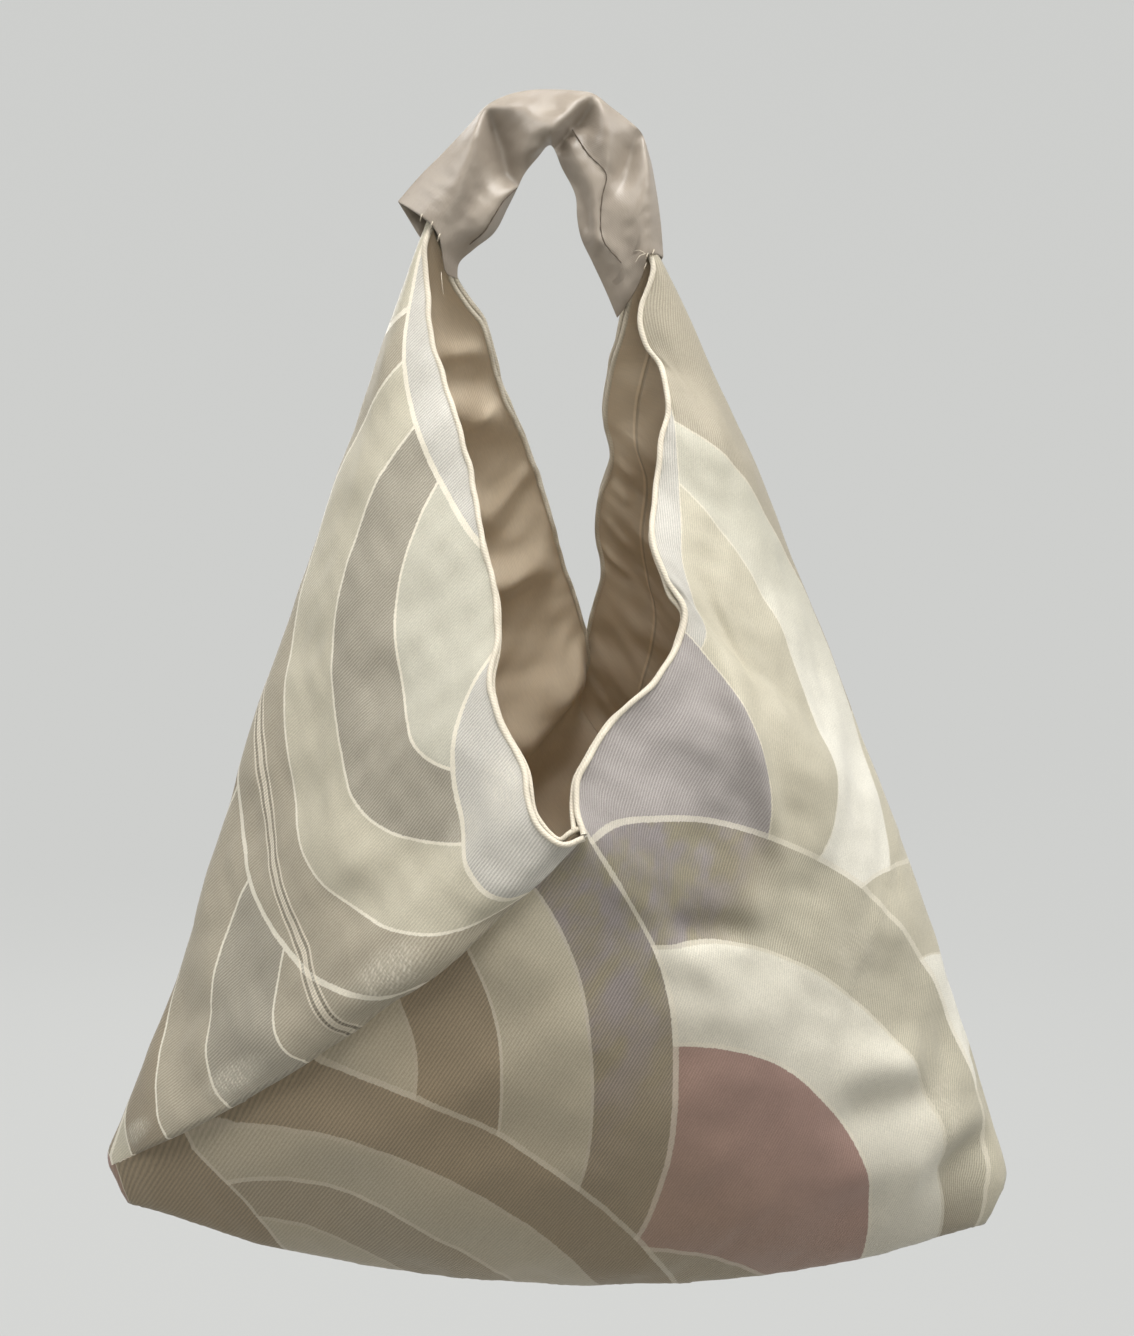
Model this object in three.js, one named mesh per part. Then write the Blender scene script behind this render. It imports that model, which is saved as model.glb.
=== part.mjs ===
// Azuma bukuro: a hand bag folded from one long strip of obi cloth, three squares end to end, with a plain lining
// of the same cut and a satin sleeve that joins its two peaks as a handle. Millimetres, +Z up, front towards -Y.
// The origin is where a hook or a finger carries the bag, under the crown of the handle.
import * as THREE from 'three';

// Cloth sizes
const CLOTH_WIDTH = 295; // finished width of the strip, the side of each of its three squares
const OUTER_THICKNESS = 1.0;
const LINING_THICKNESS = 0.6;
const LAYER_GAP = 0.35; // between the outer cloth and the lining
const FOLD_GAP = 0.3; // between squares where the strip runs on without a seam
const TOUCH_GAP = 0.3; // between pieces that are sewn or pressed together
const THREAD_DIAMETER = 0.6;
const THREAD_CLEARANCE = 0.2;
const RIM_WIDTH = 3.0; // rolled edge of the mouth, across both layers
const RIM_HEIGHT = 2.4;

// How the bag hangs
const CORNER_SPAN = 395; // between the two bottom corners
const CORNER_SHIFT = 4.5; // middle of the bottom corners, to the right of the hook
const BIAS_STRETCH = 1.018; // the side folds run on the bias and stretch a little
const PEAK_TUCK = 26; // cloth of each square's corner that is gathered into the peak, along the side fold
const RIGHT_CORNER_DROP = 10; // the right corner hangs lower than the left one
const MOUTH_POINT_SHIFT = 12; // both mouth points lie to the right of the hook
const MOUTH_POINT_DEPTH = 92; // front and back mouth points, each from the middle plane
const FRONT_SEAM_SLACK = 0.045; // share of the front seam that its belly takes up
const BACK_SEAM_SLACK = 0.0;
const SEAM_BELLY = 16; // how far each seam bows, and its shares outwards and downwards
const SEAM_OUT = 0.85;
const SEAM_DOWN = 0.5;
const LAP_RELIEF = 6.5; // how far a sewn wing rolls out over its seam
const LAP_CREST = 14; // from the seam to the top of that roll
const LAP_SHOULDER = 32;
const LAP_REACH = 40; // over which the roll dies away from its seam and towards the mouth point
const LAP_END = 70; // over which it grows from the bottom corner
const LAP_AT_MOUTH = 0.35; // share of the roll that is left at the mouth point
const LEFT_BOW = 7; // how far each side fold bows outwards
const RIGHT_BOW = 10;
const WING_BELLY = 55; // roundness of the wings next to their side folds, and its share sideways
const WING_SIDEWAYS = 0.4;
const BASE_BELLY = 18; // roundness of the base, and its share downwards
const BASE_DOWN = 0.6;
const BOTTOM_SAG = 42; // sag of the bottom fold below its two corners
const SAG_FULLNESS = 0.55; // below one, the fold drops quickly next to its corners and runs flat between them

// Handle sizes
const LEFT_REACH = 50; // from the hook to the left end of the sleeve
const LEFT_DROP = 37;
const RIGHT_REACH = 37;
const RIGHT_DROP = 55;
const CROWN_WIDTH = 24; // the satin tube is drawn in where the hook bears
const SLEEVE_DEPTH = 18;
const CROWN_DEPTH = 22;
const SLEEVE_WALL = 0.8;
const LEFT_MOUTH_SLANT = 12; // degrees by which each mouth of the sleeve is cut aslant
const RIGHT_MOUTH_SLANT = 42;
const SLANT_REACH = 0.25; // share of the arch over which the slant builds up
const NECK_DROP = 15; // bare gathered peak between the sleeve's mouth and the wing
const TIP_INSET = 28; // how far each peak tip goes into the sleeve
const TIP_WIDTH = 17;
const TIP_DEPTH = 11;
const CORE_WIDTH = 14;
const CORE_DEPTH = 7;
const TACK_STITCHES = 9; // whip stitches round each end of the sleeve
const PEAK_HALF_DEPTH = 8; // half the opening of a wing where it is gathered into its neck

// How finely the cloth is divided
const ACROSS = 10; // from a side fold to the mouth
const DOWN = 16; // from a peak to the base
const TUBE_SIDES = 6;
const RIM_SIDES = 8;
const SLEEVE_SIDES = 14;
const SLEEVE_RINGS = 18;

// Colours
const OBI = { color: 0xb8ad9a, roughness: 0.55 };
const LINING = { color: 0xa08868, roughness: 0.7 };
const ROLLED_EDGE = { color: 0xe2dac8, roughness: 0.6 };
const SATIN = { color: 0xcdbfb0, roughness: 0.35 };
const COTTON = { color: 0xe6e0d2, roughness: 0.8 };
const THREAD = { color: 0xd8ccb8, roughness: 0.6 };

const FRONT = -1;
const BACK = 1;
const LEFT = -1;
const RIGHT = 1;

function vec(x, y, z) {
  return new THREE.Vector3(x, y, z);
}

function between(a, b, t) {
  return a.clone().lerp(b, t);
}

function cloth(look) {
  return new THREE.MeshStandardMaterial({ ...look, metalness: 0 });
}

// Peaks, corners and mouth points of the hanging bag

const leftNeck = vec(-LEFT_REACH, 0, -LEFT_DROP);
const rightNeck = vec(RIGHT_REACH, 0, -RIGHT_DROP);

// A wing's gathered top: how far its fold stands out and its two edges stand in, from the neck
const leftPeak = { neck: leftNeck, side: LEFT, bow: LEFT_BOW, foldOut: 10, frontIn: -1, backIn: 12 };
const rightPeak = { neck: rightNeck, side: RIGHT, bow: RIGHT_BOW, foldOut: 20, frontIn: 4, backIn: 9 };

function peakPoint(peak, inward, y) {
  return vec(peak.neck.x - peak.side * inward, y, peak.neck.z - NECK_DROP);
}

const foldLength = Math.SQRT2 * CLOTH_WIDTH * BIAS_STRETCH - PEAK_TUCK;

function cornerPoint(peak) {
  const top = peakPoint(peak, -peak.foldOut, 0);
  const x = CORNER_SHIFT + (peak.side * CORNER_SPAN) / 2;
  const fall = Math.sqrt(foldLength ** 2 - (x - top.x) ** 2);
  return vec(x, 0, top.z - fall);
}

const leftCorner = cornerPoint(leftPeak);
const rightCorner = cornerPoint(rightPeak);
rightCorner.z = leftCorner.z - RIGHT_CORNER_DROP;

function mouthPoint(face, slack) {
  const chord = CLOTH_WIDTH * (1 - slack);
  const run = MOUTH_POINT_SHIFT - leftCorner.x;
  const rise = Math.sqrt(chord ** 2 - run ** 2 - MOUTH_POINT_DEPTH ** 2);
  return vec(MOUTH_POINT_SHIFT, face * MOUTH_POINT_DEPTH, leftCorner.z + rise);
}

const frontPoint = mouthPoint(FRONT, FRONT_SEAM_SLACK);
const backPoint = mouthPoint(BACK, BACK_SEAM_SLACK);

// Free edges of the mouth. Each lists, from the peak down, the share of the way to the mouth point and how far the
// slack edge stands off the straight line there, away from the middle of the mouth.
const edgeSlack = {
  frontLeft: [[0.2, 1.5], [0.38, 2], [0.57, 6], [0.72, 17], [0.82, 19], [0.92, 14]],
  frontRight: [[0.12, 10], [0.25, 12], [0.38, 13], [0.49, 19], [0.58, 29], [0.68, 23], [0.8, 6], [0.9, -2]],
  backLeft: [[0.25, -5], [0.5, -6], [0.75, 0], [0.92, 6]],
  backRight: [[0.25, -3], [0.4, 0], [0.58, -2], [0.75, 4], [0.92, 6]],
};

function edgeCurve(top, point, side, slack) {
  const stops = slack.map(([t, out]) => between(top, point, t).add(vec(side * out, 0, 0)));
  return new THREE.CatmullRomCurve3([top, ...stops, point]);
}

// Seam line from a bottom corner (0) to a mouth point (1), bowed out and down
function seamPoint(corner, point, t) {
  const belly = SEAM_BELLY * Math.sin(Math.PI * t);
  return between(corner, point, t).add(vec(0, Math.sign(point.y) * SEAM_OUT * belly, -SEAM_DOWN * belly));
}

// Side fold from the peak (0) to the bottom corner (1)
function sideFoldPoint(peak, corner, t) {
  const top = peakPoint(peak, -peak.foldOut, 0);
  return between(top, corner, t).add(vec(peak.side * peak.bow * Math.sin(Math.PI * t), 0, 0));
}

// Gathered top of a wing, from its side fold (0) round to the mouth edge (1)
function gatherPoint(peak, inward, face, u) {
  const turn = (u * Math.PI) / 2;
  const along = -peak.foldOut + (inward + peak.foldOut) * (1 - Math.cos(turn));
  return peakPoint(peak, along, face * PEAK_HALF_DEPTH * Math.sin(turn));
}

// How far a sewn wing rolls out over its seam, at a share across from its side fold and a share down to the seam
function lapHeight(u, v) {
  const fromSeam = CLOTH_WIDTH * (1 - v);
  const fromPoint = CLOTH_WIDTH * v * (1 - u);
  const grown = THREE.MathUtils.smoothstep(CLOTH_WIDTH - fromPoint, 0, LAP_END);
  const left = THREE.MathUtils.lerp(LAP_AT_MOUTH, 1, THREE.MathUtils.smoothstep(fromPoint, 0, LAP_REACH));
  const rolled = THREE.MathUtils.smoothstep(fromSeam, 0, LAP_CREST) * Math.exp(-((fromSeam / LAP_REACH) ** 2));
  return LAP_RELIEF * grown * left * rolled;
}

// One half of a wing: a patch between its side fold, mouth edge, gathered top and seam line
function wingHalf(peak, corner, point, inward, edge, sewn) {
  const face = Math.sign(point.y);
  return (u, v) => {
    const p = sideFoldPoint(peak, corner, v).multiplyScalar(1 - u);
    p.addScaledVector(edge.getPoint(v), u);
    p.addScaledVector(gatherPoint(peak, inward, face, u), 1 - v);
    p.addScaledVector(seamPoint(corner, point, u), v);
    p.addScaledVector(gatherPoint(peak, inward, face, 0), -(1 - u) * (1 - v));
    p.addScaledVector(gatherPoint(peak, inward, face, 1), -u * (1 - v));
    p.addScaledVector(corner, -(1 - u) * v);
    p.addScaledVector(point, -u * v);
    const belly = WING_BELLY * (Math.sin((Math.PI * u) / 2) - u) * Math.sin(Math.PI * v);
    const lap = sewn ? lapHeight(u, v) : 0;
    return p.add(vec(peak.side * WING_SIDEWAYS * belly, face * (belly + lap), 0));
  };
}

// Share of the way down at which a row of a wing lies; the last rows follow the roll over the seam
function rowShare(r) {
  if (r === DOWN - 1) return 1 - LAP_CREST / CLOTH_WIDTH;
  if (r === DOWN - 2) return 1 - LAP_SHOULDER / CLOTH_WIDTH;
  return r / DOWN;
}

// A wing as rows from peak to base, each running from the back mouth edge round the side fold to the front one.
// The left wing is sewn to the base in front, the right wing behind.
function wingGrid(peak, corner, frontSlack, backSlack) {
  const frontTop = gatherPoint(peak, peak.frontIn, FRONT, 1);
  const backTop = gatherPoint(peak, peak.backIn, BACK, 1);
  const frontEdge = edgeCurve(frontTop, frontPoint, peak.side, frontSlack);
  const backEdge = edgeCurve(backTop, backPoint, peak.side, backSlack);
  const front = wingHalf(peak, corner, frontPoint, peak.frontIn, frontEdge, peak.side === LEFT);
  const back = wingHalf(peak, corner, backPoint, peak.backIn, backEdge, peak.side === RIGHT);
  const rows = [];
  for (let r = 0; r <= DOWN; r++) {
    const row = [];
    for (let c = -ACROSS; c <= ACROSS; c++) {
      const half = c < 0 ? back : front;
      row.push(half(Math.abs(c) / ACROSS, rowShare(r)));
    }
    rows.push(row);
  }
  return rows;
}

const EVEN_SHARES = 27; // brings three equal shares, multiplied, to one

// The base square, folded on the diagonal from the left corner to the right one
function basePoint(a, b) {
  const point = a >= b ? frontPoint : backPoint;
  const atRight = Math.min(a, b);
  const atPoint = Math.abs(a - b);
  const atLeft = 1 - atRight - atPoint;
  const p = vec(0, 0, 0);
  p.addScaledVector(leftCorner, atLeft);
  p.addScaledVector(rightCorner, atRight);
  p.addScaledVector(point, atPoint);
  const addEdge = (share, t, from, to) => {
    const bow = seamPoint(from, to, t).sub(between(from, to, t));
    p.addScaledVector(bow, share * share);
  };
  if (atLeft + atPoint > 0) addEdge(1 - atRight, atPoint / (atLeft + atPoint), leftCorner, point);
  if (atRight + atPoint > 0) addEdge(1 - atLeft, atPoint / (atRight + atPoint), rightCorner, point);
  if (atLeft + atRight > 0) {
    const t = atRight / (atLeft + atRight);
    p.z -= BOTTOM_SAG * Math.sin(Math.PI * t) ** SAG_FULLNESS * (1 - atPoint) ** 2;
  }
  const belly = BASE_BELLY * EVEN_SHARES * atLeft * atRight * atPoint;
  return p.add(vec(0, Math.sign(point.y) * belly, -BASE_DOWN * belly));
}

function baseGrid() {
  const rows = [];
  for (let i = 0; i <= ACROSS; i++) {
    const row = [];
    for (let j = 0; j <= ACROSS; j++) {
      row.push(basePoint(i / ACROSS, j / ACROSS));
    }
    rows.push(row);
  }
  return rows;
}

const wings = {
  left: wingGrid(leftPeak, leftCorner, edgeSlack.frontLeft, edgeSlack.backLeft),
  right: wingGrid(rightPeak, rightCorner, edgeSlack.frontRight, edgeSlack.backRight),
};
const base = baseGrid();

// Outward directions of the whole bag, shared by the squares along the lines where they meet

function pointKey(p) {
  return [p.x, p.y, p.z].map((value) => Math.round(value * 20)).join(' ');
}

function eachTriangle(rows, visit) {
  for (let r = 0; r + 1 < rows.length; r++) {
    for (let c = 0; c + 1 < rows[r].length; c++) {
      visit([r, c], [r, c + 1], [r + 1, c + 1]);
      visit([r, c], [r + 1, c + 1], [r + 1, c]);
    }
  }
}

function outwardDirections(grids) {
  const found = new Map();
  for (const { rows, turned } of grids) {
    eachTriangle(rows, (...corners) => {
      const [a, b, c] = corners.map(([r, k]) => rows[r][k]);
      const normal = b.clone().sub(a).cross(c.clone().sub(a)).multiplyScalar(turned ? -1 : 1);
      if (normal.length() < 1e-6) return;
      for (const p of [a, b, c]) {
        const key = pointKey(p);
        const entry = found.get(key) ?? { sum: vec(0, 0, 0), units: [] };
        entry.sum.add(normal);
        entry.units.push(normal.clone().normalize());
        found.set(key, entry);
      }
    });
  }
  return found;
}

const grids = [
  { rows: wings.left, turned: true },
  { rows: wings.right, turned: false },
  { rows: base, turned: false },
];
const directions = outwardDirections(grids);
const LEAST_MITRE = 0.55; // keeps sharp folds from growing thick
const LEAST_SLANT = 0.5;
const peakLevels = [leftPeak, rightPeak].map((peak) => peak.neck.z - NECK_DROP);

// The direction that moves a point of the cloth outwards by one unit of thickness
function outwardStep(p) {
  const { sum, units } = directions.get(pointKey(p));
  const direction = sum.clone();
  if (peakLevels.some((level) => Math.abs(level - p.z) < 1e-6)) direction.z = 0; // the peak is trimmed level
  direction.normalize();
  const lean = units.reduce((total, unit) => total + unit.dot(direction), 0) / units.length;
  return direction.divideScalar(Math.max(lean, LEAST_MITRE));
}

// Moves the border points of a square back along the cloth, square to the border, towards the next point inside it
function insetGrid(rows, insets) {
  const lastRow = rows.length - 1;
  const lastColumn = rows[0].length - 1;
  const pointAt = (r, c) => rows[Math.min(Math.max(r, 0), lastRow)][Math.min(Math.max(c, 0), lastColumn)];
  return rows.map((row, r) =>
    row.map((p, c) => {
      const inset = { rows: 0, columns: 0, by: 0 };
      const take = (atBorder, amount, direction) => {
        if (!atBorder || amount === 0) return;
        Object.assign(inset, direction);
        inset.by = Math.max(inset.by, amount);
      };
      take(r === 0, insets.firstRow, { rows: 1 });
      take(r === lastRow, insets.lastRow(c), { rows: -1 });
      take(c === 0, insets.firstColumn, { columns: 1 });
      take(c === lastColumn, insets.lastColumn, { columns: -1 });
      if (inset.by === 0) return p.clone();
      const step = pointAt(r + inset.rows, c + inset.columns).clone().sub(p).normalize();
      const border = inset.rows !== 0 ? [pointAt(r, c + 1), pointAt(r, c - 1)] : [pointAt(r + 1, c), pointAt(r - 1, c)];
      const along = border[0].clone().sub(border[1]).normalize();
      const slant = Math.max(step.clone().cross(along).length(), LEAST_SLANT);
      return p.clone().addScaledVector(step, inset.by / slant);
    })
  );
}

// Six times the volume that the triangles enclose, below zero where they face inwards
function enclosed(points, triangles) {
  return triangles.reduce((sum, [a, b, c]) => sum + points[a].dot(points[b].clone().cross(points[c])), 0);
}

function geometryFrom(points, triangles) {
  if (enclosed(points, triangles) < 0) triangles.forEach((triangle) => triangle.reverse());
  const geometry = new THREE.BufferGeometry();
  geometry.setAttribute('position', new THREE.Float32BufferAttribute(points.flatMap((p) => [p.x, p.y, p.z]), 3));
  geometry.setIndex(triangles.flat());
  geometry.computeVertexNormals();
  return geometry;
}

// A closed solid of cloth between two depths under the outer face of the bag
function sheetGeometry(rows, inset, top, bottom) {
  const placed = insetGrid(rows, inset);
  const columns = rows[0].length;
  const points = [];
  for (const depth of [top, bottom]) {
    rows.forEach((row, r) => {
      row.forEach((p, c) => points.push(placed[r][c].clone().addScaledVector(outwardStep(p), -depth)));
    });
  }
  const under = rows.length * columns;
  const at = ([r, c]) => r * columns + c;
  const triangles = [];
  eachTriangle(rows, (a, b, c) => {
    triangles.push([at(a), at(b), at(c)]);
    triangles.push([at(c) + under, at(b) + under, at(a) + under]);
  });
  const border = [];
  for (let c = 0; c < columns - 1; c++) border.push([0, c]);
  for (let r = 0; r < rows.length - 1; r++) border.push([r, columns - 1]);
  for (let c = columns - 1; c > 0; c--) border.push([rows.length - 1, c]);
  for (let r = rows.length - 1; r > 0; r--) border.push([r, 0]);
  border.forEach((spot, k) => {
    const p = at(spot);
    const q = at(border[(k + 1) % border.length]);
    triangles.push([p, p + under, q + under]);
    triangles.push([p, q + under, q]);
  });
  return geometryFrom(points, triangles);
}

// A closed solid through rings of equal point counts, with a flat cap at each end
function loftGeometry(rings) {
  const sides = rings[0].length;
  const points = rings.flat();
  const triangles = [];
  for (let r = 0; r + 1 < rings.length; r++) {
    for (let k = 0; k < sides; k++) {
      const a = r * sides + k;
      const b = r * sides + ((k + 1) % sides);
      triangles.push([a, b, b + sides]);
      triangles.push([a, b + sides, a + sides]);
    }
  }
  const middle = (ring) => ring.reduce((sum, p) => sum.add(p), vec(0, 0, 0)).divideScalar(sides);
  const last = (rings.length - 1) * sides;
  const first = points.push(middle(rings[0])) - 1;
  const end = points.push(middle(rings[rings.length - 1])) - 1;
  for (let k = 0; k < sides; k++) {
    const next = (k + 1) % sides;
    triangles.push([first, next, k]);
    triangles.push([end, last + k, last + next]);
  }
  return geometryFrom(points, triangles);
}

// A closed tube wall: rings along the outside, then back along the inside
function tubeWallGeometry(outside, inside) {
  const rings = [...outside, ...inside.slice().reverse()];
  const sides = rings[0].length;
  const triangles = [];
  rings.forEach((_, r) => {
    const next = (r + 1) % rings.length;
    for (let k = 0; k < sides; k++) {
      const turn = (k + 1) % sides;
      triangles.push([r * sides + k, r * sides + turn, next * sides + turn]);
      triangles.push([r * sides + k, next * sides + turn, next * sides + k]);
    }
  });
  return geometryFrom(rings.flat(), triangles);
}

// A ring of points round a centre, in the plane of two unit directions
function ringOf(centre, across, along, halfAcross, halfAlong, sides) {
  const ring = [];
  for (let k = 0; k < sides; k++) {
    const turn = (2 * Math.PI * k) / sides;
    const p = centre.clone();
    p.addScaledVector(across, halfAcross * Math.cos(turn));
    p.addScaledVector(along, halfAlong * Math.sin(turn));
    ring.push(p);
  }
  return ring;
}

// A thread along a run of points
function threadGeometry(points, radius) {
  const rings = points.map((p, k) => {
    const before = points[Math.max(k - 1, 0)];
    const after = points[Math.min(k + 1, points.length - 1)];
    const tangent = after.clone().sub(before).normalize();
    const side = Math.abs(tangent.z) > 0.9 ? vec(1, 0, 0) : vec(0, 0, 1);
    const across = side.clone().cross(tangent).normalize();
    const along = tangent.clone().cross(across);
    return ringOf(p, across, along, radius, radius, TUBE_SIDES);
  });
  return loftGeometry(rings);
}

// Outer cloth and lining

const SEAM_GAP = THREAD_DIAMETER + 2 * THREAD_CLEARANCE;
const LINING_DEPTH = OUTER_THICKNESS + LAYER_GAP;
const BAG_THICKNESS = LINING_DEPTH + LINING_THICKNESS;

// The strip is sewn along the front of its left line and the back of its right line, and runs on along the others
function wingInset(sewnInFront) {
  const seamAt = (column) => (sewnInFront ? column >= ACROSS : column <= ACROSS);
  return {
    firstRow: 0,
    lastRow: (column) => (seamAt(column) ? SEAM_GAP : FOLD_GAP) / 2,
    firstColumn: 0,
    lastColumn: 0,
  };
}

// The base square's first column is the front seam, its last column the back seam
const baseInset = {
  firstRow: FOLD_GAP / 2,
  lastRow: () => FOLD_GAP / 2,
  firstColumn: SEAM_GAP / 2,
  lastColumn: SEAM_GAP / 2,
};

const squares = [
  { name: 'left_wing', rows: wings.left, inset: wingInset(true) },
  { name: 'base', rows: base, inset: baseInset },
  { name: 'right_wing', rows: wings.right, inset: wingInset(false) },
];

const bag = new THREE.Group();

function addPiece(name, geometry, material) {
  const mesh = new THREE.Mesh(geometry, material);
  mesh.name = name;
  bag.add(mesh);
}

for (const { name, rows, inset } of squares) {
  const outer = sheetGeometry(rows, inset, 0, OUTER_THICKNESS);
  addPiece(`outer_${name}`, outer, cloth(OBI));
}
for (const { name, rows, inset } of squares) {
  const lining = sheetGeometry(rows, inset, LINING_DEPTH, BAG_THICKNESS);
  addPiece(`lining_${name}`, lining, cloth(LINING));
}

// Rolled edges of the mouth, a waisted roll over the edges of both layers

const RIM_TOP_SET_BACK = 2;
const RIM_END_SET_BACK = 9; // each roll stops short of the mouth point, where the other one comes down

function rimGeometry(rows, column, nextColumn) {
  const middles = rows.map((row) => row[column].clone().addScaledVector(outwardStep(row[column]), -BAG_THICKNESS / 2));
  const stops = middles.map((p) => p.clone());
  stops[0].addScaledVector(middles[1].clone().sub(middles[0]).normalize(), RIM_TOP_SET_BACK);
  stops[DOWN].addScaledVector(middles[DOWN - 1].clone().sub(middles[DOWN]).normalize(), RIM_END_SET_BACK);
  const rings = stops.map((p, r) => {
    const before = stops[Math.max(r - 1, 0)];
    const after = stops[Math.min(r + 1, DOWN)];
    const tangent = after.clone().sub(before).normalize();
    const off = rows[r][column].clone().sub(rows[r][nextColumn]);
    off.addScaledVector(tangent, -off.dot(tangent)).normalize();
    const through = off.clone().cross(tangent);
    const centre = p.clone().addScaledVector(off, RIM_HEIGHT / 2 + TOUCH_GAP);
    return ringOf(centre, off, through, RIM_HEIGHT / 2, RIM_WIDTH / 2, RIM_SIDES);
  });
  return loftGeometry(rings);
}

const lastColumn = 2 * ACROSS;
const rims = [
  ['rim_front_left', wings.left, lastColumn, lastColumn - 1],
  ['rim_front_right', wings.right, lastColumn, lastColumn - 1],
  ['rim_back_left', wings.left, 0, 1],
  ['rim_back_right', wings.right, 0, 1],
];
for (const [name, rows, column, nextColumn] of rims) {
  addPiece(name, rimGeometry(rows, column, nextColumn), cloth(ROLLED_EDGE));
}

// Seam threads, between the turned edges of two squares

const THREAD_END_SET_BACK = 4;

function seamThreadGeometry(row) {
  const middles = row.map((p) => p.clone().addScaledVector(outwardStep(p), -OUTER_THICKNESS / 2));
  const last = middles.length - 1;
  const shorten = (from, to) => from.addScaledVector(to.clone().sub(from).normalize(), THREAD_END_SET_BACK);
  shorten(middles[0], middles[1]);
  shorten(middles[last], middles[last - 1]);
  return threadGeometry(middles, THREAD_DIAMETER / 2);
}

addPiece('front_seam_thread', seamThreadGeometry(wings.left[DOWN].slice(ACROSS)), cloth(THREAD));
const backSeam = wings.right[DOWN].slice(0, ACROSS + 1).reverse();
addPiece('back_seam_thread', seamThreadGeometry(backSeam), cloth(THREAD));

// Handle sleeve along its arch, in the middle plane

const crownHeight = CROWN_WIDTH / 2;
// Stops of the arch, as shares of each side's reach and drop
const arch = new THREE.CatmullRomCurve3([
  leftNeck,
  vec(-LEFT_REACH * 0.72, 0, -LEFT_DROP * 0.45),
  vec(-LEFT_REACH * 0.36, 0, crownHeight * 0.55),
  vec(0, 0, crownHeight),
  vec(RIGHT_REACH * 0.55, 0, 0),
  vec(RIGHT_REACH * 0.8, 0, -RIGHT_DROP * 0.4),
  rightNeck,
]);
const archLength = arch.getLength();
const CROWN_SHARE = 0.52; // where along the arch the hook bears
const CROWN_REACH = 0.16; // how far along the arch the sleeve is drawn in
// Width of the flattened sleeve, as seen from the front, at shares of the arch from its left mouth to its right one
const sleeveWidths = [[0, 36], [0.25, 34], [0.4, 29], [CROWN_SHARE, CROWN_WIDTH], [0.66, 33], [0.8, 32], [1, 27.5]];

function sleeveWidth(share) {
  const next = Math.max(sleeveWidths.findIndex(([stop]) => stop >= share), 1);
  const [[from, before], [to, after]] = sleeveWidths.slice(next - 1, next + 1);
  return THREE.MathUtils.lerp(before, after, THREE.MathUtils.smoothstep(share, from, to));
}

const depthwise = vec(0, 1, 0);

function mouthSlant(share) {
  const left = LEFT_MOUTH_SLANT * THREE.MathUtils.smoothstep(SLANT_REACH - share, 0, SLANT_REACH);
  const right = RIGHT_MOUTH_SLANT * THREE.MathUtils.smoothstep(share + SLANT_REACH - 1, 0, SLANT_REACH);
  return THREE.MathUtils.degToRad(left - right);
}

function archFrame(share) {
  const centre = arch.getPointAt(share);
  const tangent = arch.getTangentAt(share);
  const out = vec(-tangent.z, 0, tangent.x); // away from the hand gap
  return { centre, out: out.applyAxisAngle(depthwise, mouthSlant(share)) };
}

function drawnIn(share) {
  return Math.exp(-(((share - CROWN_SHARE) / CROWN_REACH) ** 2));
}

function sleeveRing(share, inset) {
  const { centre, out } = archFrame(share);
  const depth = SLEEVE_DEPTH + (CROWN_DEPTH - SLEEVE_DEPTH) * drawnIn(share);
  return ringOf(centre, out, depthwise, sleeveWidth(share) / 2 - inset, depth / 2 - inset, SLEEVE_SIDES);
}

function sleeveRings(inset) {
  const rings = [];
  for (let k = 0; k <= SLEEVE_RINGS; k++) rings.push(sleeveRing(k / SLEEVE_RINGS, inset));
  return rings;
}

addPiece('handle_sleeve', tubeWallGeometry(sleeveRings(0), sleeveRings(SLEEVE_WALL)), cloth(SATIN));

// Closing seam of the sleeve, a ridge along the front of it
const SEAM_SIDE = 12; // which corner of the sleeve's section the seam follows
const seamLift = THREAD_DIAMETER / 2 + TOUCH_GAP;
const sleeveSeam = [];
for (let k = 0; k <= SLEEVE_RINGS; k++) {
  const share = k / SLEEVE_RINGS;
  const p = sleeveRing(share, 0)[SEAM_SIDE];
  const out = p.clone().sub(arch.getPointAt(share)).normalize();
  sleeveSeam.push(p.addScaledVector(out, seamLift));
}
addPiece('sleeve_seam', threadGeometry(sleeveSeam, THREAD_DIAMETER / 2), cloth(THREAD));

// Peak tips, gathered from the top of each wing and led into the sleeve, and the core that joins them

const tipShare = TIP_INSET / archLength;
const TIP_STOPS = 4;

function tipGeometry(peak, shares, turned) {
  const width = (peak.foldOut + peak.backIn) / 2;
  const foot = peakPoint(peak, (peak.backIn - peak.foldOut) / 2, 0);
  foot.z += TOUCH_GAP;
  const rings = [ringOf(foot, vec(1, 0, 0), depthwise, width, PEAK_HALF_DEPTH, SLEEVE_SIDES)];
  for (const share of shares) {
    const { centre, out } = archFrame(share);
    rings.push(ringOf(centre, out, depthwise, TIP_WIDTH / 2, TIP_DEPTH / 2, SLEEVE_SIDES));
  }
  const facing = turned ? rings.map((ring, r) => (r === 0 ? ring : mirrorRing(ring))) : rings;
  return loftGeometry(facing);
}

// The same ring read from its opposite side, so that it lines up with a ring across +X
function mirrorRing(ring) {
  const half = ring.length / 2;
  return ring.map((_, k) => ring[(half - k + ring.length) % ring.length]);
}

function tipShares(from, to) {
  const shares = [];
  for (let k = 0; k <= TIP_STOPS; k++) shares.push(from + ((to - from) * k) / TIP_STOPS);
  return shares;
}

addPiece('left_peak_tip', tipGeometry(leftPeak, tipShares(0, tipShare), true), cloth(OBI));
addPiece('right_peak_tip', tipGeometry(rightPeak, tipShares(1, 1 - tipShare), false), cloth(OBI));

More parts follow.
